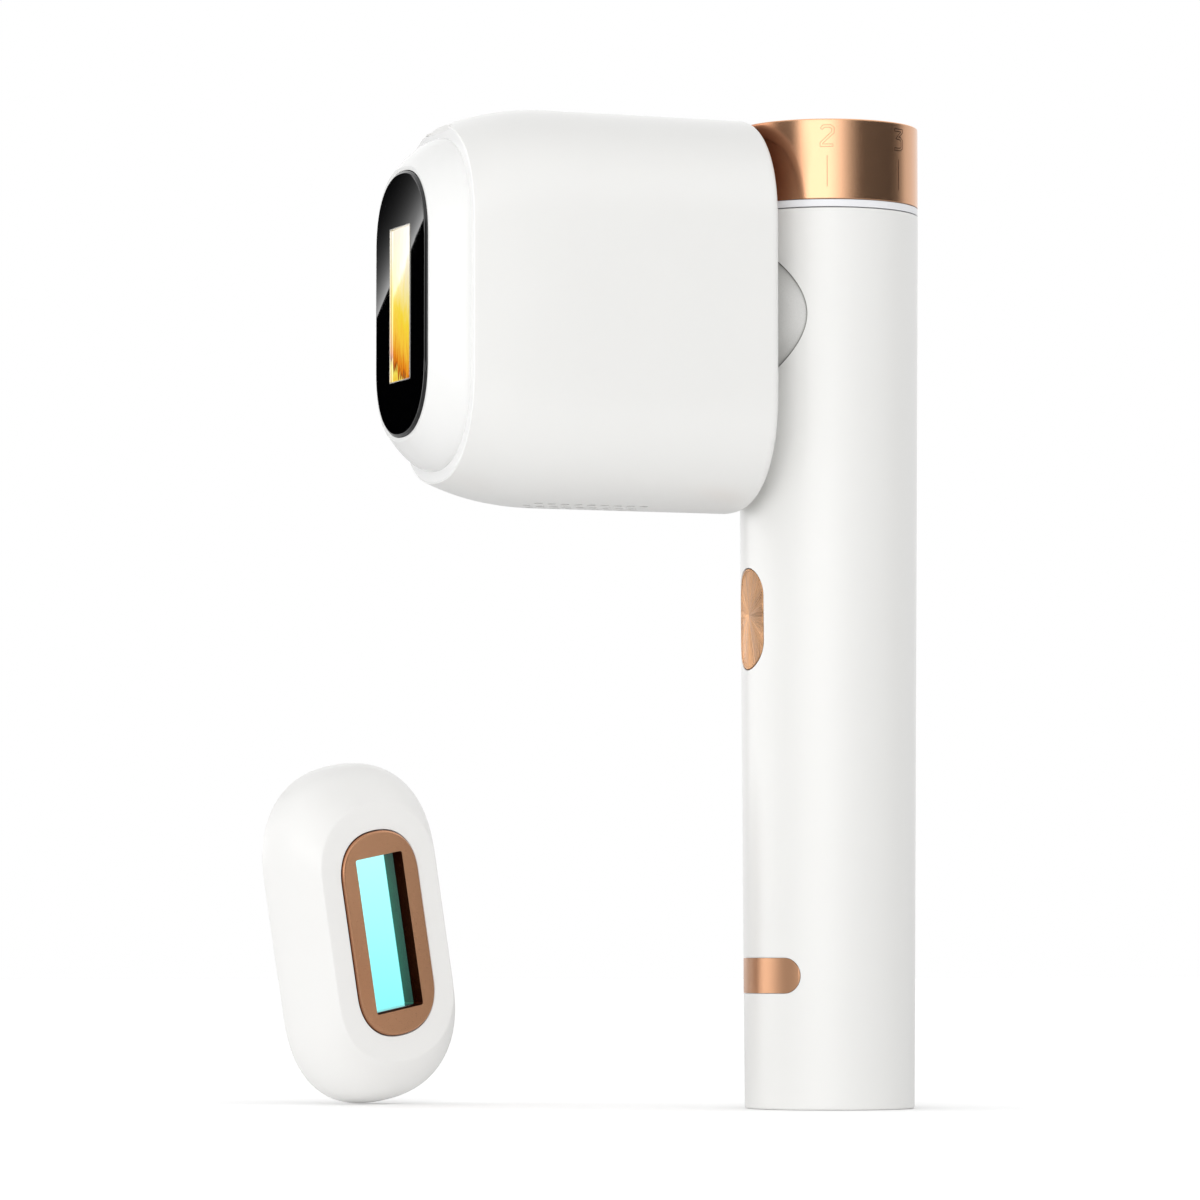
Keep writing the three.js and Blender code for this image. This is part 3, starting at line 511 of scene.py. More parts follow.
def sunburst_metal(name, colour, centre):
    """Metal with flat facets that fan out from a point in the YZ plane, in metres."""
    shader = Shader(name, colour, 0.26, 1.0)
    _, y, z = shader.split(shader.place)
    across = shader.math("SUBTRACT", y, centre.y)
    up = shader.math("SUBTRACT", z, centre.z)
    angle = shader.math("ARCTAN2", up, across)
    direction = shader.node("ShaderNodeCombineXYZ")
    shader.feed(direction.inputs[0], shader.math("COSINE", angle))
    shader.feed(direction.inputs[1], shader.math("SINE", angle))
    wedges = shader.noise(2.2, 0, vector=direction.outputs[0])
    fine = shader.noise(26, 3, vector=direction.outputs[0])
    squares = shader.math("ADD", shader.math("MULTIPLY", across, across), shader.math("MULTIPLY", up, up))
    pleats = shader.math("ADD", shader.math("MULTIPLY", wedges, 0.8), shader.math("MULTIPLY", fine, 0.12))
    height = shader.math("MULTIPLY", shader.math("SQRT", squares), pleats)
    shader.bump(height, 550)  # deep, because the height is itself in metres
    shader.put("Roughness", shader.span(fine, 0.2, 0.36))
    shader.put("Base Color", shader.blend(fine, tuple(c * 0.86 for c in colour), colour))
    return shader.material


def gloss_black():
    shader = Shader("window_black", (0.0004, 0.0004, 0.0006), 0.01)
    smear = shader.noise(90, 4)
    shader.put("Roughness", shader.span(smear, 0.004, 0.016))
    shader.put("IOR", 1.52)
    return shader.material


def amber_crystal(low, high):
    """Filter glass that glows with painted light as if lit from behind, pale at the top and orange at the
    bottom, with streaks.
    """
    shader = Shader("amber_crystal", (0.9, 0.5, 0.1), 0.05)
    _, y, z = shader.split(shader.place)
    rise = shader.between(z, low.z, high.z)
    streak = shader.noise(420, 4, (1, 2.5, 0.5))
    wobble = shader.math("MULTIPLY", shader.math("SUBTRACT", streak, 0.5), 0.30)
    slant = shader.math("MULTIPLY", shader.math("SUBTRACT", y, (low.y + high.y) / 2), -16.0)
    level = shader.math("ADD", shader.math("ADD", rise, wobble), slant)
    colour = shader.ramp(level, (
        (0.00, (0.95, 0.62, 0.05)),
        (0.06, (0.95, 0.80, 0.12)),
        (0.09, (0.30, 0.05, 0.01)),
        (0.13, (0.80, 0.22, 0.01)),
        (0.28, (1.00, 0.60, 0.05)),
        (0.44, (1.00, 0.74, 0.05)),
        (0.58, (1.00, 0.86, 0.34)),
        (0.72, (1.00, 0.90, 0.62)),
        (1.00, (1.00, 0.95, 0.88)),
    ))
    shader.put("Base Color", (0.02, 0.01, 0.0, 1))
    shader.put("Emission Color", colour)
    shader.put("Emission Strength", 1.1)
    shader.put("Coat Weight", 1.0)
    shader.put("Coat Roughness", 0.02)
    return shader.material


def teal_filter(place, edge_mm):
    """Dichroic glass: a mirror with a painted teal reflection that glows for the camera only, bright from
    edge_mm on along the frame's side axis, dim before it and paler toward the top; other rays see it dark
    brown.
    """
    shader = Shader("teal_filter", (0.25, 0.95, 0.92), 0.03, 1.0)
    smear = shader.noise(150, 3)
    shader.put("Roughness", shader.span(smear, 0.015, 0.05))
    seen = shader.sight("Is Camera Ray")
    teal = shader.blend(smear, (0.03, 0.70, 0.70), (0.05, 0.76, 0.75))
    shader.put("Base Color", shader.blend(seen, (0.05, 0.03, 0.02), teal))
    side = place.col[1].xyz
    reach = shader.math("SUBTRACT", shader.along(shader.place, side), side.dot(place.translation) * MM)
    lit = shader.math("GREATER_THAN", reach, edge_mm * MM)
    glow = shader.span(lit, 0.08, 1.0)
    _, _, z = shader.split(shader.place)
    middle = place.translation.z
    rise = shader.between(z, (middle - 16) * MM, (middle + 16) * MM)
    shader.put("Emission Color", shader.blend(rise, (0.28, 0.60, 0.61), (0.50, 0.70, 0.70)))
    shader.put("Emission Strength", shader.math("MULTIPLY", glow, seen))
    return shader.material


def circuit_board():
    shader = Shader("circuit_board", (0.02, 0.14, 0.06), 0.35)
    tracks = shader.node("ShaderNodeTexBrick", Vector=shader.place, Scale=90)
    tracks.inputs["Mortar Size"].default_value = 0.06
    shade = shader.blend(shader.noise(900, 2), (0.015, 0.11, 0.05), (0.03, 0.18, 0.08))
    shader.put("Base Color", shader.blend(tracks.outputs["Fac"], shade, (0.05, 0.26, 0.10)))
    shader.bump(tracks.outputs["Fac"], 0.03)
    return shader.material


def wound_wire():
    shader = Shader("copper_winding", (0.55, 0.22, 0.08), 0.3, 0.9)
    turns = shader.node("ShaderNodeTexWave", Vector=shader.place, Scale=700)
    turns.bands_direction = "Y"
    shader.put("Base Color", shader.blend(turns.outputs["Fac"], (0.30, 0.10, 0.03), (0.65, 0.28, 0.10)))
    shader.bump(turns.outputs["Fac"], 0.08)
    return shader.material


def lamp_glass():
    shader = Shader("lamp_quartz", (0.95, 0.97, 1.0), 0.02)
    shader.put("Transmission Weight", 0.9)
    shader.put("IOR", 1.46)
    shader.put("Roughness", shader.span(shader.noise(300, 2), 0.01, 0.05))
    return shader.material


COPPER = (0.74, 0.42, 0.25)
PEARL = painted("pearl_paint", (0.80, 0.797, 0.78), 0.42, 0.35, 0.006, coat=0.8, coat_rough=0.3)
NOSE_WHITE = painted("nose_white", (0.84, 0.84, 0.83), 0.22, 1.2, 0.002, coat=0.15)
# A glossier white for the ledge, whose extra brightness is a painted highlight.
RIM_WHITE_WITH_PAINTED_HIGHLIGHT = painted("rim_white_with_painted_highlight", (0.90, 0.90, 0.895), 0.25, 1.2, 0.002, coat=0.5)
RING_WHITE = painted("ring_white", (0.81, 0.815, 0.835), 0.3, 0.6, 0.003, coat=0.2)
SATIN_WHITE = painted("satin_white", (0.87, 0.865, 0.85), 0.36, 0.5, 0.004, coat=0.2, coat_rough=0.2)
BLACK_PLASTIC = painted("black_plastic", (0.02, 0.02, 0.022), 0.5, 0.25, 0.01)
GREY_PLASTIC = painted("grey_plastic", (0.30, 0.31, 0.32), 0.5, 0.25, 0.01)
IVORY_PLASTIC = painted("ivory_plastic", (0.74, 0.70, 0.60), 0.4, 0.3, 0.006)
CERAMIC = painted("white_ceramic", (0.80, 0.78, 0.72), 0.55, 0.15, 0.012)
SLEEVE = painted("capacitor_sleeve", (0.02, 0.03, 0.09), 0.25, 2.0, 0.01, coat=0.4)
RUBBER = painted("cable_rubber", (0.03, 0.03, 0.032), 0.6, 0.2, 0.02)
COPPER_SATIN = satin_metal("copper_satin", COPPER, 0.2)
COPPER_RING = satin_metal("copper_ring", (0.62, 0.34, 0.20), 0.3)
STEEL = satin_metal("turned_steel", (0.55, 0.56, 0.58), 0.28, 0.3)
NICKEL = satin_metal("nickel_plate", (0.66, 0.64, 0.60), 0.18, 0.3, 0.002)
ALUMINIUM = satin_metal("satin_aluminium", (0.72, 0.73, 0.74), 0.3, 0.25)
BRASS = satin_metal("turned_brass", (0.70, 0.52, 0.22), 0.25, 0.3)
# Copper engraving with painted shade that darkens its lines at a slant.
SLANT_SHADED_ENGRAVING = engraved_metal("engraved_copper", (0.58, 0.32, 0.18), (0.012, 0.005, 0.003))


# ---------------------------------------------------------------- handle

BADGE_SIZE = (29.1, 7.25)
BADGE_GAP = 0.1
BADGE_POCKET = (17.1, 20.0)  # the radii between which its pocket is cut
BUTTON_OPENING = (21.4, 12.1)
NECK_GAP = 0.25
CUT_NEAR = 5  # the depths between which a cutter passes through the handle's front wall
CUT_FAR = 25


def strip_outline(length, width):
    """Columns of a pill: (distance along, half height there), close together for bending."""
    bent = 16
    flat = 24
    radius = width / 2
    straight = length / 2 - radius
    bends = [straight + radius * math.sin(math.pi / 2 * k / bent) for k in range(1, bent)]
    inner = [straight * k / flat for k in range(flat + 1)]
    right = [(x, radius) for x in inner]
    right += [(x, math.sqrt(radius ** 2 - (x - straight) ** 2)) for x in bends]
    left = [(-x, height) for x, height in reversed(right[1:])]
    return left + right


def wrapped_pill(name, length, width, z, r0, r1):
    """A pill plate bent round the handle on the head's side, between two radii."""
    columns = strip_outline(length, width)
    tip = length / 2
    points = []

    def add(along, rise, radius):
        angle = math.pi + along / handle_radius(z)
        points.append((radius * math.cos(angle), radius * math.sin(angle), z + rise))

    for along, height in columns:
        add(along, -height, r0)
        add(along, -height, r1)
        add(along, height, r1)
        add(along, height, r0)
    faces = [tuple(reversed(face)) for face in ring_faces(len(columns), 4, False)[:-2]]
    first = len(points)
    for end in (-tip, tip):
        add(end, 0, r0)
        add(end, 0, r1)
    last = 4 * (len(columns) - 1)
    faces += [(0, 1, first + 1, first), (1, 2, first + 1), (2, 3, first, first + 1), (3, 0, first)]
    a, b = first + 2, first + 3
    faces += [(last + 1, last, a, b), (last + 2, last + 1, b)]
    faces += [(last + 3, last + 2, b, a), (last, last + 3, a)]
    return make_piece(name, points, faces)


def build_casing():
    """The tapered tube, with its neck hole, button opening and badge pocket."""
    casing = turned("handle_casing", [
        (FOOT_RADIUS, 0, 0.5),
        *((handle_radius(z), z, 0) for z in range(12, 184, 12)),
        (TOP_RADIUS, TUBE_TOP, 0.2),
        (TOP_RADIUS - TUBE_WALL, TUBE_TOP, 0),
        (FOOT_RADIUS - TUBE_WALL, 0, 0),
    ], True)
    neck_cut = rod("neck_cut", NECK_RADIUS + NECK_GAP, CUT_NEAR, CUT_FAR, HEAD)
    outline = pill(*BUTTON_OPENING, FINE_ARC)
    button_cut = prism("button_cut", outline, CUT_NEAR, CUT_FAR, lamp_axis(BUTTON_Z))
    length, width = (side + 2 * BADGE_GAP for side in BADGE_SIZE)
    badge_cut = wrapped_pill("badge_cut", length, width, BADGE_Z, *BADGE_POCKET)
    carve(casing, neck_cut, button_cut, badge_cut)
    fit(casing, "handle", PEARL, "pearl_paint", "handle_tube")


def build_badge():
    radius = handle_radius(BADGE_Z)
    badge = wrapped_pill("badge_pill", *BADGE_SIZE, BADGE_Z, radius - 0.5, radius + 0.02)
    soften(badge, 0.08)
    fit(smooth(badge), "handle", COPPER_RING, "copper", "badge_plate")


def build_top_ring():
    """The pale ring under the dial, with the skirt that plugs into the tube."""
    bore = 4.9
    skirt_inner = 15
    skirt_outer = 16.8
    outer = RING_HIGH.x
    low = TUBE_TOP + 0.2
    high = RING_HIGH.z + 0.1
    ring = turned("dial_seat_ring", [
        (bore, low, 0),
        (skirt_inner, low, 0),
        (skirt_inner, RING_LOW.z, 0),
        (skirt_outer, RING_LOW.z, 0),
        (skirt_outer, low, 0),
        (outer, low, 0.12),
        (outer, high, 0.12),
        (bore, high, 0),
    ], True)
    fit(smooth(ring), "handle", RING_WHITE, "white_gloss", "top_ring")


# ---------------------------------------------------------------- dial

DIAL_RADIUS = DIAL_HIGH.x - 0.03
DIAL_WALL = 1.6
DIAL_LID = 1.9
DIGIT_STEP = 360 / 7
DIGIT_ZERO = 246 - 2 * DIGIT_STEP  # the 2 is at 246 degrees
DIGIT_WIDTH = 2.4
DIGIT_HEIGHT = 4.0
DIGIT_BASE = 199.4
DIGIT_STROKE = 0.26  # half the width between a numeral's two outlines
DIGIT_BEAD = 0.07  # half the width of an outline's own line
TICK_LOW = 190.8
TICK_HIGH = 197.3
TICK_BEAD = 0.09
BEAD_SUNK = -0.1
BEAD_PROUD = 0.012


def build_dial():
    """A cap with a thick lid, whose slightly dished top has a flat middle."""
    dish = 0.1
    middle = 6
    inner = DIAL_RADIUS - DIAL_WALL
    top = DIAL_HIGH.z
    low = DIAL_LOW.z - 0.12
    cap = turned("dial_cap_skin", [
        (inner, low, 0),
        (DIAL_RADIUS, low, 0.12),
        (DIAL_RADIUS, top, 0.22),
        (middle, top - dish, 0),
        (middle, top - DIAL_LID, 0),
        (inner, top - DIAL_LID, 0),
    ], True)
    disc = rod("dial_disc", middle - 0.02, top - DIAL_LID, top - dish)
    dial = join_pieces("dial_knob", [cap, disc])
    # Painted shade: the dial's copper darkens where the head stands close.
    copper_with_painted_shade = shaded_metal("dial_copper", COPPER, 0.2, 11, 2.0)
    fit(smooth(dial), "dial", copper_with_painted_shade, "copper", "dial_cap")


def stroke_line(points, radius, closed):
    """A thin square bead along points on the dial's wall, given as (angle, z)."""
    beads = []
    count = len(points)
    for i, (angle, z) in enumerate(points):
        before = points[i - 1] if closed or i else points[0]
        after = points[(i + 1) % count] if closed or i + 1 < count else points[-1]
        run = Vector(((after[0] - before[0]) * DIAL_RADIUS, after[1] - before[1]))
        run.normalize()
        side = Vector((-run.y, run.x)) * radius
        for sign, depth in ((1, BEAD_SUNK), (1, BEAD_PROUD), (-1, BEAD_PROUD), (-1, BEAD_SUNK)):
            a = angle + sign * side.x / DIAL_RADIUS
            r = DIAL_RADIUS + depth
            beads.append((r * math.cos(a), r * math.sin(a), z + sign * side.y))
    return make_piece("stroke", beads, ring_faces(count, 4, closed))


# Centre lines of narrow numerals in a unit box, one list of points each.
DIGITS = (
    ((0.3, 0), (0, 0.1), (0, 0.9), (0.3, 1), (0.7, 1), (1, 0.9), (1, 0.1), (0.7, 0), (0.35, 0)),
    ((0.1, 0.86), (0.6, 1), (0.6, 0)),
    ((0, 0.86), (0.2, 1), (0.8, 1), (1, 0.9), (1, 0.68), (0, 0.12), (0, 0), (1, 0)),
    ((0, 1), (1, 1), (1, 0.92), (0.35, 0.58), (0.75, 0.58), (1, 0.46), (1, 0.1), (0.75, 0), (0, 0)),
    ((0.72, 0), (0.72, 1), (0, 0.3), (1, 0.3)),
    ((1, 1), (0, 1), (0, 0.58), (0.75, 0.58), (1, 0.48), (1, 0.1), (0.75, 0), (0, 0)),
    ((0.9, 1), (0.3, 0.9), (0, 0.66), (0, 0.1), (0.25, 0), (0.75, 0), (1, 0.1), (1, 0.42),
     (0.75, 0.52), (0.1, 0.52)),
)


def outline_of(line, half):
    """The closed outline round an open line of points, at a distance half on each side."""
    points = [Vector(p) for p in line]
    sides = []
    for sign in (1, -1):
        side = []
        for i, point in enumerate(points):
            runs = []
            if i:
                runs.append((point - points[i - 1]).normalized())
            if i + 1 < len(points):
                runs.append((points[i + 1] - point).normalized())
            mean = sum(runs, Vector((0, 0))).normalized()
            normal = Vector((-mean.y, mean.x)) * sign
            lengthen = half / max(0.5, mean.dot(runs[0]))
            side.append(point + normal * lengthen)
        sides.append(side)
    return sides[0] + sides[1][::-1]


def subdivided(border, step):
    """The same closed outline with extra points, so that its runs can follow a round wall."""
    dense = []
    for start, end in zip(border, border[1:] + border[:1]):
        count = math.ceil((end - start).length / step)
        dense.extend(start.lerp(end, k / count) for k in range(count))
    return dense


def build_numerals():
    """The numerals 0 to 6 in outline, each over a tick."""
    tick_steps = 6
    rise = (TICK_HIGH - TICK_LOW) / tick_steps
    strokes = []
    for digit, line in enumerate(DIGITS):
        facing = math.radians(DIGIT_ZERO + digit * DIGIT_STEP)
        flat = [((x - 0.5) * DIGIT_WIDTH, DIGIT_BASE + y * DIGIT_HEIGHT) for x, y in line]
        border = subdivided(outline_of(flat, DIGIT_STROKE), 0.4)
        bent = [(facing + p.x / DIAL_RADIUS, p.y) for p in border]
        tick = [(facing, TICK_LOW + rise * k) for k in range(tick_steps + 1)]
        strokes += [stroke_line(bent, DIGIT_BEAD, True), stroke_line(tick, TICK_BEAD, False)]
    fit(join_pieces("dial_numerals", strokes), "dial", SLANT_SHADED_ENGRAVING, "copper")


# ---------------------------------------------------------------- flash button

def build_button():
    """A pill that follows the handle's curve, dished a little inside a bright rim."""
    outer = handle_radius(BUTTON_Z)
    length = BUTTON_HIGH.z - BUTTON_LOW.z
    width = BUTTON_HIGH.y - BUTTON_LOW.y
    burst_height = 0.8
    rings = (  # inset from the outline, height over the handle's surface
        (0.0, -1.45), (0.0, -0.16), (0.05, -0.05), (0.16, 0.0), (0.42, 0.0), (0.55, -0.06),
        (0.62, -0.16), (1.6, -0.2), (3.0, -0.24), (4.4, -0.27), (5.2, -0.28), (5.6, -0.28),
    )
    points = []
    count = 0
    for inset, depth in rings:
        outline = pill(length - 2 * inset, width - 2 * inset, 40)
        count = len(outline)
        for up, across in outline:
            surface = math.sqrt(outer ** 2 - across ** 2) + depth
            points.append((-surface, across, BUTTON_Z + up))
    faces = ring_faces(len(rings), count, False)
    button = make_piece("flash_button", points, faces)
    centre = Vector((0, 0, BUTTON_Z + burst_height)) * MM
    burst = sunburst_metal("copper_sunburst", (0.76, 0.42, 0.22), centre)
    fit(smooth(button), "trigger", burst, "copper", "trigger_button")


# ---------------------------------------------------------------- head

HEAD_REAR = -SHELL_HIGH.x
HEAD_FRONT = -SHELL_LOW.x
HEAD_HALF_LENGTH = (SHELL_HIGH.z - SHELL_LOW.z) / 2
HEAD_HALF_WIDTH = (SHELL_HIGH.y - SHELL_LOW.y) / 2
RIM_HALF_LENGTH = 36.5
RIM_HALF_WIDTH = 22.4
TAPER_START = 63.4
TAPER_POWER = 2.4
TAPER_STEPS = 30
SHELL_WALL = 2.2
REAR_INSET = 2.9  # from the shell's outline to its rear opening
REAR_COVER = 3.0  # how deep the rear opening and its cover go
SKIN_GAP = 0.12
VENT_SIZE = (1.9, 1.15)
VENT_PITCH = 2.9
VENT_ROW_PITCH = 2.8
VENT_START = 44
VENT_ROWS = 5
VENT_COLUMNS = 9


def shell_section(z, inset):
    """The shell's (half length, half width, z), which tapers toward the nose."""
    run = max(0.0, (z - TAPER_START) / (HEAD_FRONT - TAPER_START))
    drop = run ** TAPER_POWER
    half_length = HEAD_HALF_LENGTH - (HEAD_HALF_LENGTH - RIM_HALF_LENGTH) * drop
    half_width = HEAD_HALF_WIDTH - (HEAD_HALF_WIDTH - RIM_HALF_WIDTH) * drop
    return (half_length - inset, half_width - inset, z)


def vent_cutters():
    """Rounded slots through the head's top and bottom, in staggered rows."""
    slot = pill(*VENT_SIZE, 6)
    faces = ring_faces(2, len(slot), False)
    cutters = []
    for row in range(VENT_ROWS):
        y = (row - (VENT_ROWS - 1) / 2) * VENT_ROW_PITCH
        for column in range(VENT_COLUMNS):
            z = VENT_START + (column + (row % 2) / 2) * VENT_PITCH
            points = [(x, y + v, z + u) for x in (50, -50) for u, v in slot]
            cutters.append(make_piece("slot", points, faces, HEAD))
    return join_pieces("vent_cut", cutters)


def notch_cutter():
    """The small notch in the top of the head's front edge."""
    outline = rectangle(3, 13, 0.4, RIM_HALF_LENGTH + 0.4)
    return prism("notch_cut", outline, HEAD_FRONT - 1.2, HEAD_FRONT + 1, HEAD)


def build_shell():
    front = HEAD_FRONT - SKIN_GAP
    corners = [(*shell_section(HEAD_REAR, REAR_INSET), 0), (*shell_section(HEAD_REAR, 0), 1.3)]
    zs = [TAPER_START + (HEAD_FRONT - TAPER_START) * k / TAPER_STEPS for k in range(TAPER_STEPS + 1)]
    corners += [(*shell_section(z, 0), 0) for z in zs[:-1]]
    corners.append((*shell_section(front, 0), 0.1))
    corners.append((*shell_section(front, SHELL_WALL), 0))
    corners += [(*shell_section(z, SHELL_WALL), 0) for z in reversed(zs[:-1])]
    corners.append((*shell_section(HEAD_REAR + REAR_COVER + 0.2, SHELL_WALL), 0))
    corners.append((*shell_section(HEAD_REAR + REAR_COVER, REAR_INSET), 0))
    shell = pill_skin("head_casing", corners, True, HEAD)
    carve(shell, vent_cutters(), notch_cutter())
    fit(shell, "head", PEARL, "pearl_paint", "head_shell")


def build_rim():
    """The white ledge round the nose's foot, over the shell's front edge."""
    width = SHELL_WALL + 0.4
    low = HEAD_FRONT - 0.6
    outer = (RIM_HALF_LENGTH - SKIN_GAP, RIM_HALF_WIDTH - SKIN_GAP)
    inner = (RIM_HALF_LENGTH - width, RIM_HALF_WIDTH - width)
    rim = pill_skin("nose_rim", [
        (*outer, low, 0),
        (*outer, HEAD_FRONT, 0.2),
        (*inner, HEAD_FRONT, 0),
        (*inner, low, 0),
    ], True, HEAD)
    carve(rim, notch_cutter())
    fit(rim, "head", RIM_WHITE_WITH_PAINTED_HIGHLIGHT, "white_gloss")


def build_rear_cover():
    *outer, back = shell_section(HEAD_REAR + 0.5, REAR_INSET + 0.1)
    inner = [half - 12 for half in outer]
    front = HEAD_REAR + REAR_COVER
    cover = pill_skin("rear_panel", [
        (*inner, back, 0),
        (*outer, back, 0.3),
        (*outer, front, 0),
        (*inner, front, 0),
    ], False, HEAD)
    carve(cover, rod("neck_hole", NECK_RADIUS + 0.15, CUT_NEAR, 2 * CUT_FAR, HEAD))
    fit(cover, "head", PEARL, "white_gloss", "rear_cover")


def build_neck():
    """The round neck, with its flange in the head and its grooved journal in the bearing."""
    bore = 6.5
    journal = 9.1
    groove = 8.2
    flange = 19.4
    neck = turned("swivel_neck", [
        (bore, -0.6, 0),
        (journal, -0.6, 0.2),
        (journal, 0.5, 0),
        (groove, 0.5, 0),
        (groove, 2.2, 0),
        (journal, 2.2, 0),
        (journal, 9.6, 0),
        (NECK_RADIUS, 9.6, 0.4),
        (NECK_RADIUS, 24.6, 0),
        (flange, 24.6, 0),
        (flange, 27, 0),
        (bore, 27, 0),
    ], True, HEAD)
    # Painted shade: the neck greys in the gap between the head and the handle.
    shaded = shaded_paint("shaded_pearl", (0.80, 0.797, 0.78), (0.26, 0.255, 0.24), 12)
    fit(smooth(neck), "head", shaded, "pearl_paint", "neck_boss")


NOSE_REAR = 84
NOSE_HALF = (34.1, 20.0)
NOSE_TIP_HALF = (28.2, 16.2)
NOSE_TIP_Z = -NOSE_LOW.x
NOSE_POWER = 1.6
NOSE_STEPS = 28
SEAT_Z = 91.9  # of the face that the window plate and the crystal's flange rest against
SEAT_WALL = 1.5
WINDOW_HALF = (27.2, 15.1)
WINDOW_BACK = 92.2
OPENING = (31.8, 12.2)
CRYSTAL_BACK = 90.3
CRYSTAL_FRONT = 95.15


def nose_section(height):
    """The nose's (half length, half width, z) at a height over the head's front."""
    drop = (height / (NOSE_TIP_Z - HEAD_FRONT)) ** NOSE_POWER
    half_length = NOSE_HALF[0] - (NOSE_HALF[0] - NOSE_TIP_HALF[0]) * drop
    half_width = NOSE_HALF[1] - (NOSE_HALF[1] - NOSE_TIP_HALF[1]) * drop
    return (half_length, half_width, HEAD_FRONT + height)


def build_nose():
    """The nose's skin, with the seat for the window plate and the hollow behind it."""
    rise = NOSE_TIP_Z - HEAD_FRONT
    pocket = (27.3, 15.2)
    opening = (25, 12.9)
    hollow = (32.2, 18.1)
    corners = [(*NOSE_HALF, NOSE_REAR, 0), (*NOSE_HALF, HEAD_FRONT - 0.5, 0)]
    corners += [(*nose_section(rise * k / NOSE_STEPS), 0) for k in range(NOSE_STEPS)]
    corners += [
        (*nose_section(rise), 0.35),
        (*pocket, NOSE_TIP_Z, 0.2),
        (*pocket, SEAT_Z, 0),
        (*opening, SEAT_Z, 0),
        (*opening, SEAT_Z - SEAT_WALL, 0),
        (30.7, 17, SEAT_Z - SEAT_WALL, 0),
        (*hollow, HEAD_FRONT, 0),
        (*hollow, NOSE_REAR, 0),
    ]
    nose = pill_skin("nose_shell", corners, True, HEAD)
    fit(smooth(nose), "head", NOSE_WHITE, "white_gloss", "nose_cover")


def shrunk(size, by):
    return tuple(side - by for side in size)


def build_window():
    front = -WINDOW_LOW.x - 0.2
    plate = pill_skin("window_bezel", [
        (*WINDOW_HALF, WINDOW_BACK, 0),
        (*WINDOW_HALF, front - 0.4, 0.3),
        (*shrunk(WINDOW_HALF, 0.5), front, 0.4),
        (*shrunk(WINDOW_HALF, 14.5), front, 0),
    ], False, HEAD)
    carve(plate, prism("opening_cut", rectangle(*OPENING, 0.25), 90, 100, HEAD))
    soften(plate, 0.12, 2, 50)
    fit(smooth(plate), "head", gloss_black(), "black_gloss", "window_plate")


def build_filter():
    low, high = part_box("filter_glass")
    outline = rectangle(*shrunk(OPENING, 0.6), 0.3)
    body = prism("filter_body", outline, CRYSTAL_BACK, CRYSTAL_FRONT, HEAD)
    soften(body, 0.15, 2, 50)
    flange = prism("filter_flange", rectangle(35.0, 15.0, 0.3), CRYSTAL_BACK, SEAT_Z, HEAD)
    crystal = join_pieces("filter_crystal", [body, flange])
    fit(smooth(crystal), "head", amber_crystal(low, high), "amber_glass", "filter_glass")


def build_liner():
    """A thin metal frame that stands just above the crystal inside the window's opening."""
    liner = prism("liner", rectangle(*shrunk(OPENING, 0.02), 0.25), 92.0, 95.5, HEAD)
    carve(liner, prism("liner_cut", rectangle(*shrunk(OPENING, 0.4), 0.2), 91, 97, HEAD))
    fit(liner, "head", NICKEL, "black_gloss")


# ---------------------------------------------------------------- attachment

COVER_HALF = (36.52, 21.9)
FACE_HALF = (27.8, 15.5)
FACE_Z = 12.0
COVER_STEPS = 28
POCKET_Z = 10.6  # floor of the ring's pocket in the face
RING_Z = 12.5
RING_HALF = (22.05, 10.3)
RING_THICKNESS = 1.6
LIGHT_SIZE = (33.4, 12.6)
COLLAR_WALL = 0.8
COLLAR_Z = (8.4, 11.2)
GLOW_EDGE = -3.75  # where the bright part of the glass's painted reflection starts, across its width
GLASS_Z = (8.5, 9.3)
MAGNET_SLOT = (1.35, 5.2, 0.2)
MAGNET_X = 35.475


def dome_section(height):
    """The cover's (half length, half width, z) at a height over its rim."""
    run = height / FACE_Z
    half_length = COVER_HALF[0] - (COVER_HALF[0] - FACE_HALF[0]) * run ** 3
    half_width = COVER_HALF[1] - (COVER_HALF[1] - FACE_HALF[1]) * run ** 1.6
    return (half_length, half_width, height)


def build_attachment_cover():
    """The hollow cover: its domed outside, the ring's pocket, and the cavity that clears the nose."""
    pocket = shrunk(RING_HALF, -0.15)
    opening = (21.1, 9.3)
    corners = [(*dome_section(0), 0.35)]
    corners += [(*dome_section(FACE_Z * k / COVER_STEPS), 0) for k in range(1, COVER_STEPS)]
    corners += [
        (*dome_section(FACE_Z), 2.6),
        (*pocket, FACE_Z, 0.15),
        (*pocket, POCKET_Z, 0),
        (*opening, POCKET_Z, 0),
        (*opening, 9.2, 0),
        (28.6, 16.6, 7.5, 0),
        (31.3, 18.3, 5, 0),
        (33.5, 19.9, 2.5, 0),
        (34.3, 20.2, 0, 0.2),
    ]
    cover = pill_skin("clip_on_cover", corners, True, ATTACHMENT)
    outlines = [rectangle(*MAGNET_SLOT, x) for x in (MAGNET_X, -MAGNET_X)]
    carve(cover, *(prism("magnet_slot", outline, -1, 2.4, ATTACHMENT) for outline in outlines))
    fit(cover, "attachment", SATIN_WHITE, "white_satin", "attachment_cover")


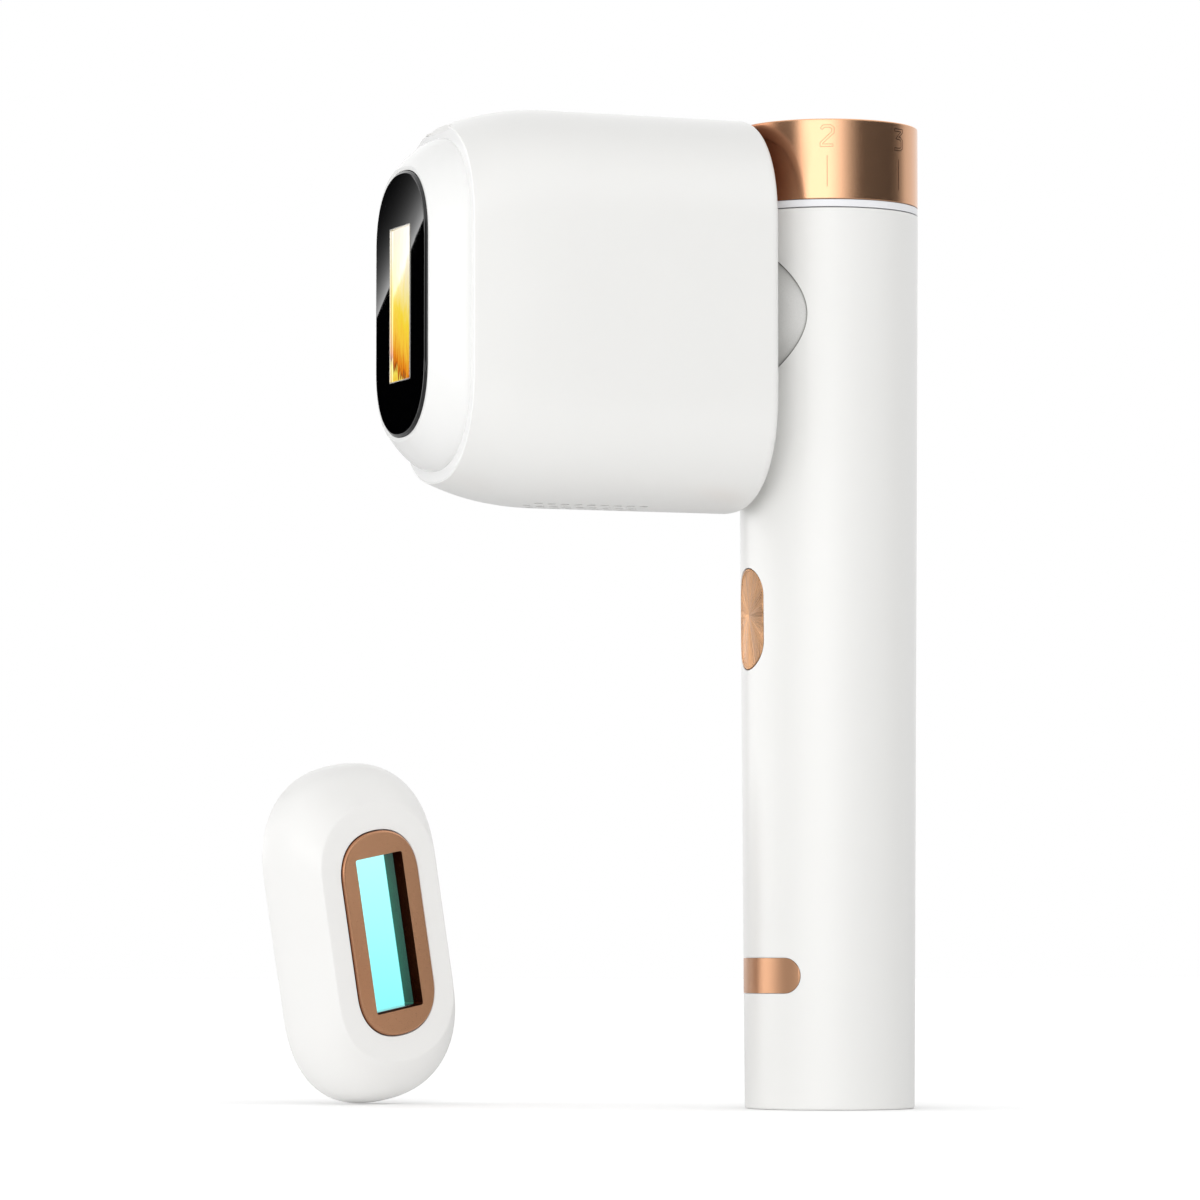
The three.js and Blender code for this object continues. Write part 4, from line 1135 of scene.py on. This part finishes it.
def build_attachment_ring():
    """The ring plate, with the collar behind it that holds the glass."""
    plate = pill_skin("ring_plate", [
        (*RING_HALF, RING_Z - RING_THICKNESS, 0),
        (*RING_HALF, RING_Z, 0.85),
        (*shrunk(RING_HALF, 3), RING_Z, 0),
    ], False, ATTACHMENT)
    outline = rectangle(*shrunk(LIGHT_SIZE, -2 * COLLAR_WALL), 0.5)
    combine(plate, "UNION", [prism("collar", outline, *COLLAR_Z, ATTACHMENT)])
    carve(plate, prism("light_cut", rectangle(*LIGHT_SIZE, 0.5), 8, 13, ATTACHMENT))
    soften(plate, 0.42, 3, 50)
    plate.name = "light_ring"
    # Painted shade: the ring's copper turns dark brown in its well and beside the glass.
    copper_with_painted_shade = shaded_metal("ring_copper", (0.62, 0.33, 0.19), 0.3, 8, 3.0)
    fit(smooth(plate), "attachment", copper_with_painted_shade, "copper", "attachment_ring")


def build_attachment_glass():
    glass = prism("light_filter", rectangle(*shrunk(LIGHT_SIZE, 0.1), 0.4), *GLASS_Z, ATTACHMENT)
    soften(glass, 0.08)
    teal = teal_filter(ATTACHMENT, GLOW_EDGE)
    fit(smooth(glass), "attachment", teal, "teal_glass", "attachment_glass")


# ---------------------------------------------------------------- CAD pieces that stay

KEPT = {
    "pearl_paint": PEARL,
    "white_gloss": NOSE_WHITE,
    "white_satin": SATIN_WHITE,
    "copper": COPPER_SATIN,
    "black_plastic": BLACK_PLASTIC,
    "grey_plastic": GREY_PLASTIC,
    "circuit_board": circuit_board(),
    "capacitor_sleeve": SLEEVE,
    "copper_winding": wound_wire(),
    "connector_ivory": IVORY_PLASTIC,
    "ceramic": CERAMIC,
    "cable_rubber": RUBBER,
    "steel": STEEL,
    "magnet_nickel": NICKEL,
    "aluminium": ALUMINIUM,
    "brass": BRASS,
    "lamp_glass": lamp_glass(),
}


def dress_frame():
    """Gives every CAD node that still shows its procedural material and soft edges."""
    slots = {row["node"]: row["material_slot"] for row in frame["record"]["subparts"]}
    for name, node in frame["nodes"].items():
        if node.hide_render:
            continue
        node.data.materials.clear()
        node.data.materials.append(KEPT[slots[name]])
        shade(node.data)
        bevel = node.modifiers.new("soft_edges", "BEVEL")
        bevel.width = 0.08 * MM
        bevel.limit_method = "ANGLE"
        bevel.angle_limit = math.radians(50)


# ---------------------------------------------------------------- floor, light and camera

# The camera's place is in metres and degrees, and its turn and tilt off the handle are in radians.
CAMERA_AZIMUTH = -23.8
CAMERA_DISTANCE = 1.250
CAMERA_HEIGHT = 0.032
CAMERA_TURN = 0.0383
CAMERA_TILT = 0.05925
CAMERA_FOCAL = 179.196  # mm, for a 36 mm sensor


def place_camera():
    azimuth = math.radians(CAMERA_AZIMUTH)
    away = Vector((math.sin(azimuth), -math.cos(azimuth), 0))
    look = Matrix.Rotation(CAMERA_TURN, 3, "Z") @ -away
    look.z = math.tan(CAMERA_TILT)
    data = bpy.data.cameras.new("camera")
    data.lens = CAMERA_FOCAL
    data.sensor_width = 36
    data.clip_start = 0.01
    camera = new_object("camera", data)
    camera.location = away * CAMERA_DISTANCE + Vector((0, 0, CAMERA_HEIGHT))
    camera.rotation_euler = look.to_track_quat("-Z", "Y").to_euler()
    bpy.context.scene.camera = camera


def build_floor():
    """A pale floor that shows almost as bright as the white surroundings, with a painted contact shadow
    near the object.
    """
    reach = 6000
    level = -0.05
    corners = ((-reach, -reach), (reach, -reach), (reach, reach), (-reach, reach))
    floor = make_piece("floor", [(x, y, level) for x, y in corners], [(0, 1, 2, 3)])
    shader = Shader("pale_floor", (0.93, 0.93, 0.93), 0.9)
    shader.put("Specular IOR Level", 0.1)
    speck = shader.noise(40, 2)
    shader.put("Base Color", shader.blend(speck, (0.92, 0.92, 0.92), (0.94, 0.94, 0.94)))
    shader.put("Emission Color", (1, 1, 1, 1))
    # Painted contact shadow: the floor's brightness for the camera dims where the object stands within
    # reach.
    lift = shader.math("MULTIPLY", shader.openness(90, 2.0), 0.43)
    shown = shader.math("MULTIPLY", shader.sight("Is Camera Ray"), lift)
    bounce = shader.math("MULTIPLY", shader.sight("Is Diffuse Ray"), 0.09)
    shader.put("Emission Strength", shader.math("ADD", shown, bounce))
    floor.data.materials.append(shader.material)


LIGHT_AIM = Vector((0, 0, 0.11))
LIGHT_CARD = 0.6


def light_card(name, where, strength):
    """A soft square light that neither the camera nor a reflection sees."""
    data = bpy.data.lights.new(name, "AREA")
    data.size = LIGHT_CARD
    data.energy = strength
    card = new_object(name, data)
    direction = LIGHT_AIM - Vector(where)
    turn = direction.to_track_quat("-Z", "Y").to_matrix().to_4x4()
    card.matrix_world = Matrix.Translation(where) @ turn
    card.visible_camera = False
    card.visible_glossy = False


# Brightness seen in reflections near the horizon, by the degrees that the reflection points to.
REFLECTED = (
    (-180, 0.30), (-162, 0.22), (-155, 0.6), (-147, 2.0), (-140, 2.4), (-112, 2.4), (-98, 1.5),
    (-85, 0.55), (-74, 0.12), (-66, 0.05), (-24, 0.05), (-12, 0.16), (-4, 0.45), (4, 0.85),
    (30, 1.0), (80, 1.1), (103, 1.4), (106, 0.0), (112, 0.0), (114, 2.4), (145, 3.0), (160, 2.6),
    (172, 1.0), (180, 0.30),
)
BRIGHTEST = 3
SKY_REFLECTED = 1.25
SKY_EDGE = (0.24, 0.31)  # how far up the reflected sky starts, as a direction's z
DIFFUSE = (0.95, 0.42)  # light on the paint from the horizon and from overhead


def build_world():
    """Even white surroundings for the paint, and bright boxes between black flags for the metal."""
    world = bpy.data.worlds.new("studio")
    world.use_nodes = True
    bpy.context.scene.world = world
    nodes = Nodes(world.node_tree)
    x, y, z = nodes.split(nodes.node("ShaderNodeTexCoord").outputs["Generated"])
    turn = nodes.between(nodes.math("ARCTAN2", y, x), -math.pi, math.pi)
    level = nodes.node("ShaderNodeFloatCurve", Value=turn)
    curve = level.mapping.curves[0]
    while len(curve.points) < len(REFLECTED):
        curve.points.new(0.5, 0.5)
    for point, (degrees, strength) in zip(curve.points, REFLECTED):
        point.location = ((degrees + 180) / 360, strength / BRIGHTEST)
        point.handle_type = "VECTOR"
    level.mapping.update()
    low = nodes.math("MULTIPLY", level.outputs[0], BRIGHTEST)
    glossy = nodes.mix(nodes.between(z, *SKY_EDGE), low, SKY_REFLECTED)
    seen = nodes.mix(nodes.sight("Is Diffuse Ray"), glossy, nodes.span(z, *DIFFUSE))
    back = world.node_tree.nodes["Background"]
    nodes.feed(back.inputs["Strength"], nodes.mix(nodes.sight("Is Camera Ray"), seen, 1.0))
    nodes.feed(back.inputs["Color"], (1, 1, 1, 1))


def build_reflected_card():
    """A card that fades upward, seen only as the slanted reflection in the black window."""
    plane = WINDOW_LOW.x
    eye = bpy.context.scene.camera.location / MM
    mirrored = Vector((2 * plane - eye.x, eye.y, eye.z))
    edge = (Vector((plane, 10, 166.0)), Vector((plane, -11.7, 179.3)))  # where it shows on the window
    reach = 0.35
    ends = [point + (point - mirrored) * reach for point in edge]
    along = (ends[1] - ends[0]).normalized()
    sight = ((ends[0] + ends[1]) / 2 - mirrored).normalized()
    up = along.cross(sight)
    if up.z < 0:
        up.negate()
    points = [ends[0] + along * u + up * v for u, v in ((-150, 0), (200, 0), (200, 60), (-150, 60))]
    card = make_piece("reflected_card", points, [(0, 1, 2, 3)])
    shader = Shader("card_glow", (0, 0, 0), 1.0)
    shader.put("Specular IOR Level", 0.0)
    height = shader.math("SUBTRACT", shader.along(shader.place, up), up.dot(ends[0]) * MM)
    fade = shader.math("EXPONENT", shader.math("MULTIPLY", height, -600.0))
    shader.put("Emission Color", (1, 1, 1, 1))
    shader.put("Emission Strength", shader.math("MULTIPLY", fade, 2.2))
    card.data.materials.append(shader.material)
    card.visible_camera = False
    card.visible_diffuse = False
    card.visible_shadow = False


def build_stage():
    build_floor()
    build_world()
    build_reflected_card()
    light_card("key_light", (-0.62, -1.1, 0.3), 5.7)
    light_card("side_light", (-1.2, 0.3, 0.3), 1.0)
    scene = bpy.context.scene
    scene.view_settings.view_transform = "Standard"
    scene.view_settings.look = "None"


build_casing()
build_badge()
build_top_ring()
build_dial()
build_numerals()
build_button()
build_shell()
build_rim()
build_rear_cover()
build_neck()
build_nose()
build_window()
build_filter()
build_liner()
build_attachment_cover()
build_attachment_ring()
build_attachment_glass()
dress_frame()
place_camera()
build_stage()
